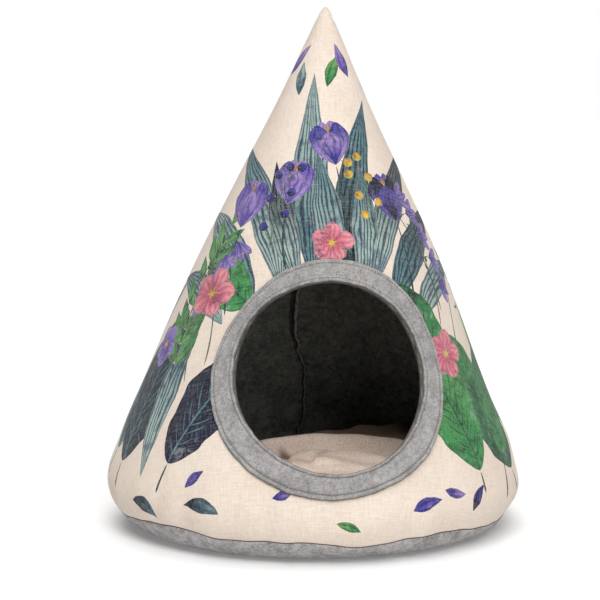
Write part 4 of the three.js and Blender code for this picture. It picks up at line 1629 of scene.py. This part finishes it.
# Even light from one side, as soft as from a panel that spans so many degrees: azimuth,
# elevation, span, strength and colour
SUNS = {
    "key": (8, 38, 25, 1.42, WARM_WHITE),
    "side": (-18, 56, 30, 1.28, WARM_WHITE),
    "low": (14, 5, 24, 0.54, WARM_WHITE),
    "low left": (-24, 6, 24, 0.1, WARM_WHITE),
    "right": (90, 35, 50, 0.1, WARM_WHITE),
    "top": (0, 90, 60, 1.3, WHITE),
    "back": (180, 45, 60, 0.46, WHITE),
}


def aimed(name, data, azimuth, elevation, distance):
    """A camera or light that looks at the target."""
    a, e = math.radians(azimuth), math.radians(elevation)
    away = Vector((math.sin(a) * math.cos(e), -math.cos(a) * math.cos(e), math.sin(e)))
    item = bpy.data.objects.new(name, data)
    bpy.context.scene.collection.objects.link(item)
    item.location = TARGET + away * distance
    item.rotation_mode = "QUATERNION"
    item.rotation_quaternion = (-away).to_track_quat("-Z", "Y")
    return item


def camera_and_lights():
    data = bpy.data.cameras.new("camera")
    data.sensor_width = 36
    data.lens = PIXELS_PER_METRE * CAMERA_DISTANCE / PHOTO_PIXELS * data.sensor_width
    data.shift_x = -TARGET_RIGHT / PHOTO_PIXELS
    data.shift_y = -TARGET_UP / PHOTO_PIXELS
    data.clip_end = 50
    camera = aimed("camera", data, CAMERA_AZIMUTH, CAMERA_ELEVATION, CAMERA_DISTANCE)
    bpy.context.scene.camera = camera
    for name, (azimuth, elevation, span, strength, colour) in SUNS.items():
        light = bpy.data.lights.new(name, "SUN")
        light.angle = math.radians(span)
        light.energy = strength
        light.color = colour
        aimed(name, light, azimuth, elevation, SUN_DISTANCE)


def surroundings():
    """A white world that the camera sees, and that itself gives hardly any light."""
    world = bpy.data.worlds.new("surroundings")
    bpy.context.scene.world = world
    world.use_nodes = True
    nodes, links = world.node_tree.nodes, world.node_tree.links
    soft, white = nodes["Background"], nodes.new("ShaderNodeBackground")
    for background, strength in ((soft, WORLD_LIGHT), (white, 1)):
        background.inputs["Color"].default_value = (*WHITE, 1)
        background.inputs["Strength"].default_value = strength
    seen = nodes.new("ShaderNodeLightPath")
    mix = nodes.new("ShaderNodeMixShader")
    links.new(seen.outputs["Is Camera Ray"], mix.inputs[0])
    links.new(soft.outputs[0], mix.inputs[1])
    links.new(white.outputs[0], mix.inputs[2])
    links.new(mix.outputs[0], nodes["World Output"].inputs["Surface"])
    bpy.context.scene.view_settings.view_transform = "Standard"
    bpy.context.scene.view_settings.look = "None"


def floor():
    """A round pale floor, just under the base."""
    columns = 96
    turn = np.arange(columns) * 2 * math.pi / columns
    rows = [circle(radius, -0.2, turn) for radius in GROUND_ROWS]
    faces = grid_faces(len(rows), columns) + [range(columns)[::-1]]
    ground = new_object("floor", np.vstack(rows), [face[::-1] for face in faces])
    shader = Shader("floor")
    grain = shader.noise(in_millimetres(shader), 0.01, 2)
    colour = shader.blend(*([tone] * 3 for tone in GROUND_TONES), grain)
    shader.feed(shader.surface.inputs["Base Color"], colour)
    shader.surface.inputs["Roughness"].default_value = 0.9
    shader.surface.inputs["Specular IOR Level"].default_value = 0.0
    shader.surface.inputs["Emission Color"].default_value = (*WHITE, 1)
    shader.surface.inputs["Emission Strength"].default_value = GROUND_GLOW
    ground.data.materials.append(shader.material)


# Darker wool, lighter wool and flecks of each felt
FELTS = {
    "grey_felt": ((121, 120, 120), (167, 165, 164), (81, 79, 80)),
    "base_felt": ((112, 111, 112), (185, 182, 182), (77, 75, 77)),
    "dark_felt": ((65, 68, 64), (126, 128, 122), (43, 45, 42)),
}
# The dark and the light of each thread
THREADS = {
    "grey_thread": ((81, 78, 78), (119, 116, 115)),
    "brown_thread": ((45, 38, 33), (85, 74, 63)),
}


def main():
    camera_and_lights()
    surroundings()
    floor()

    made = {name: felt_material(name, *colours) for name, colours in FELTS.items()}
    made.update({name: thread_material(name, *colours) for name, colours in THREADS.items()})
    cover = dressed(printed_cover(), linen_material())
    hem = dressed(hem_thread(), made["brown_thread"])
    lining = dressed(felt_lining(), made["dark_felt"])
    ridge = dressed(back_seam_ridge(), made["dark_felt"])
    ring = dressed(doorway_facing(), made["grey_felt"])
    stitches = dressed(ring_stitches(), made["grey_thread"])
    base = dressed(felt_base(), made["base_felt"])
    cushion = dressed(plush_cushion(), plush_material())
    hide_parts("cover")
    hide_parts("lining")
    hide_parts("entrance_ring")
    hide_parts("base")
    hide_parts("cushion")


main()
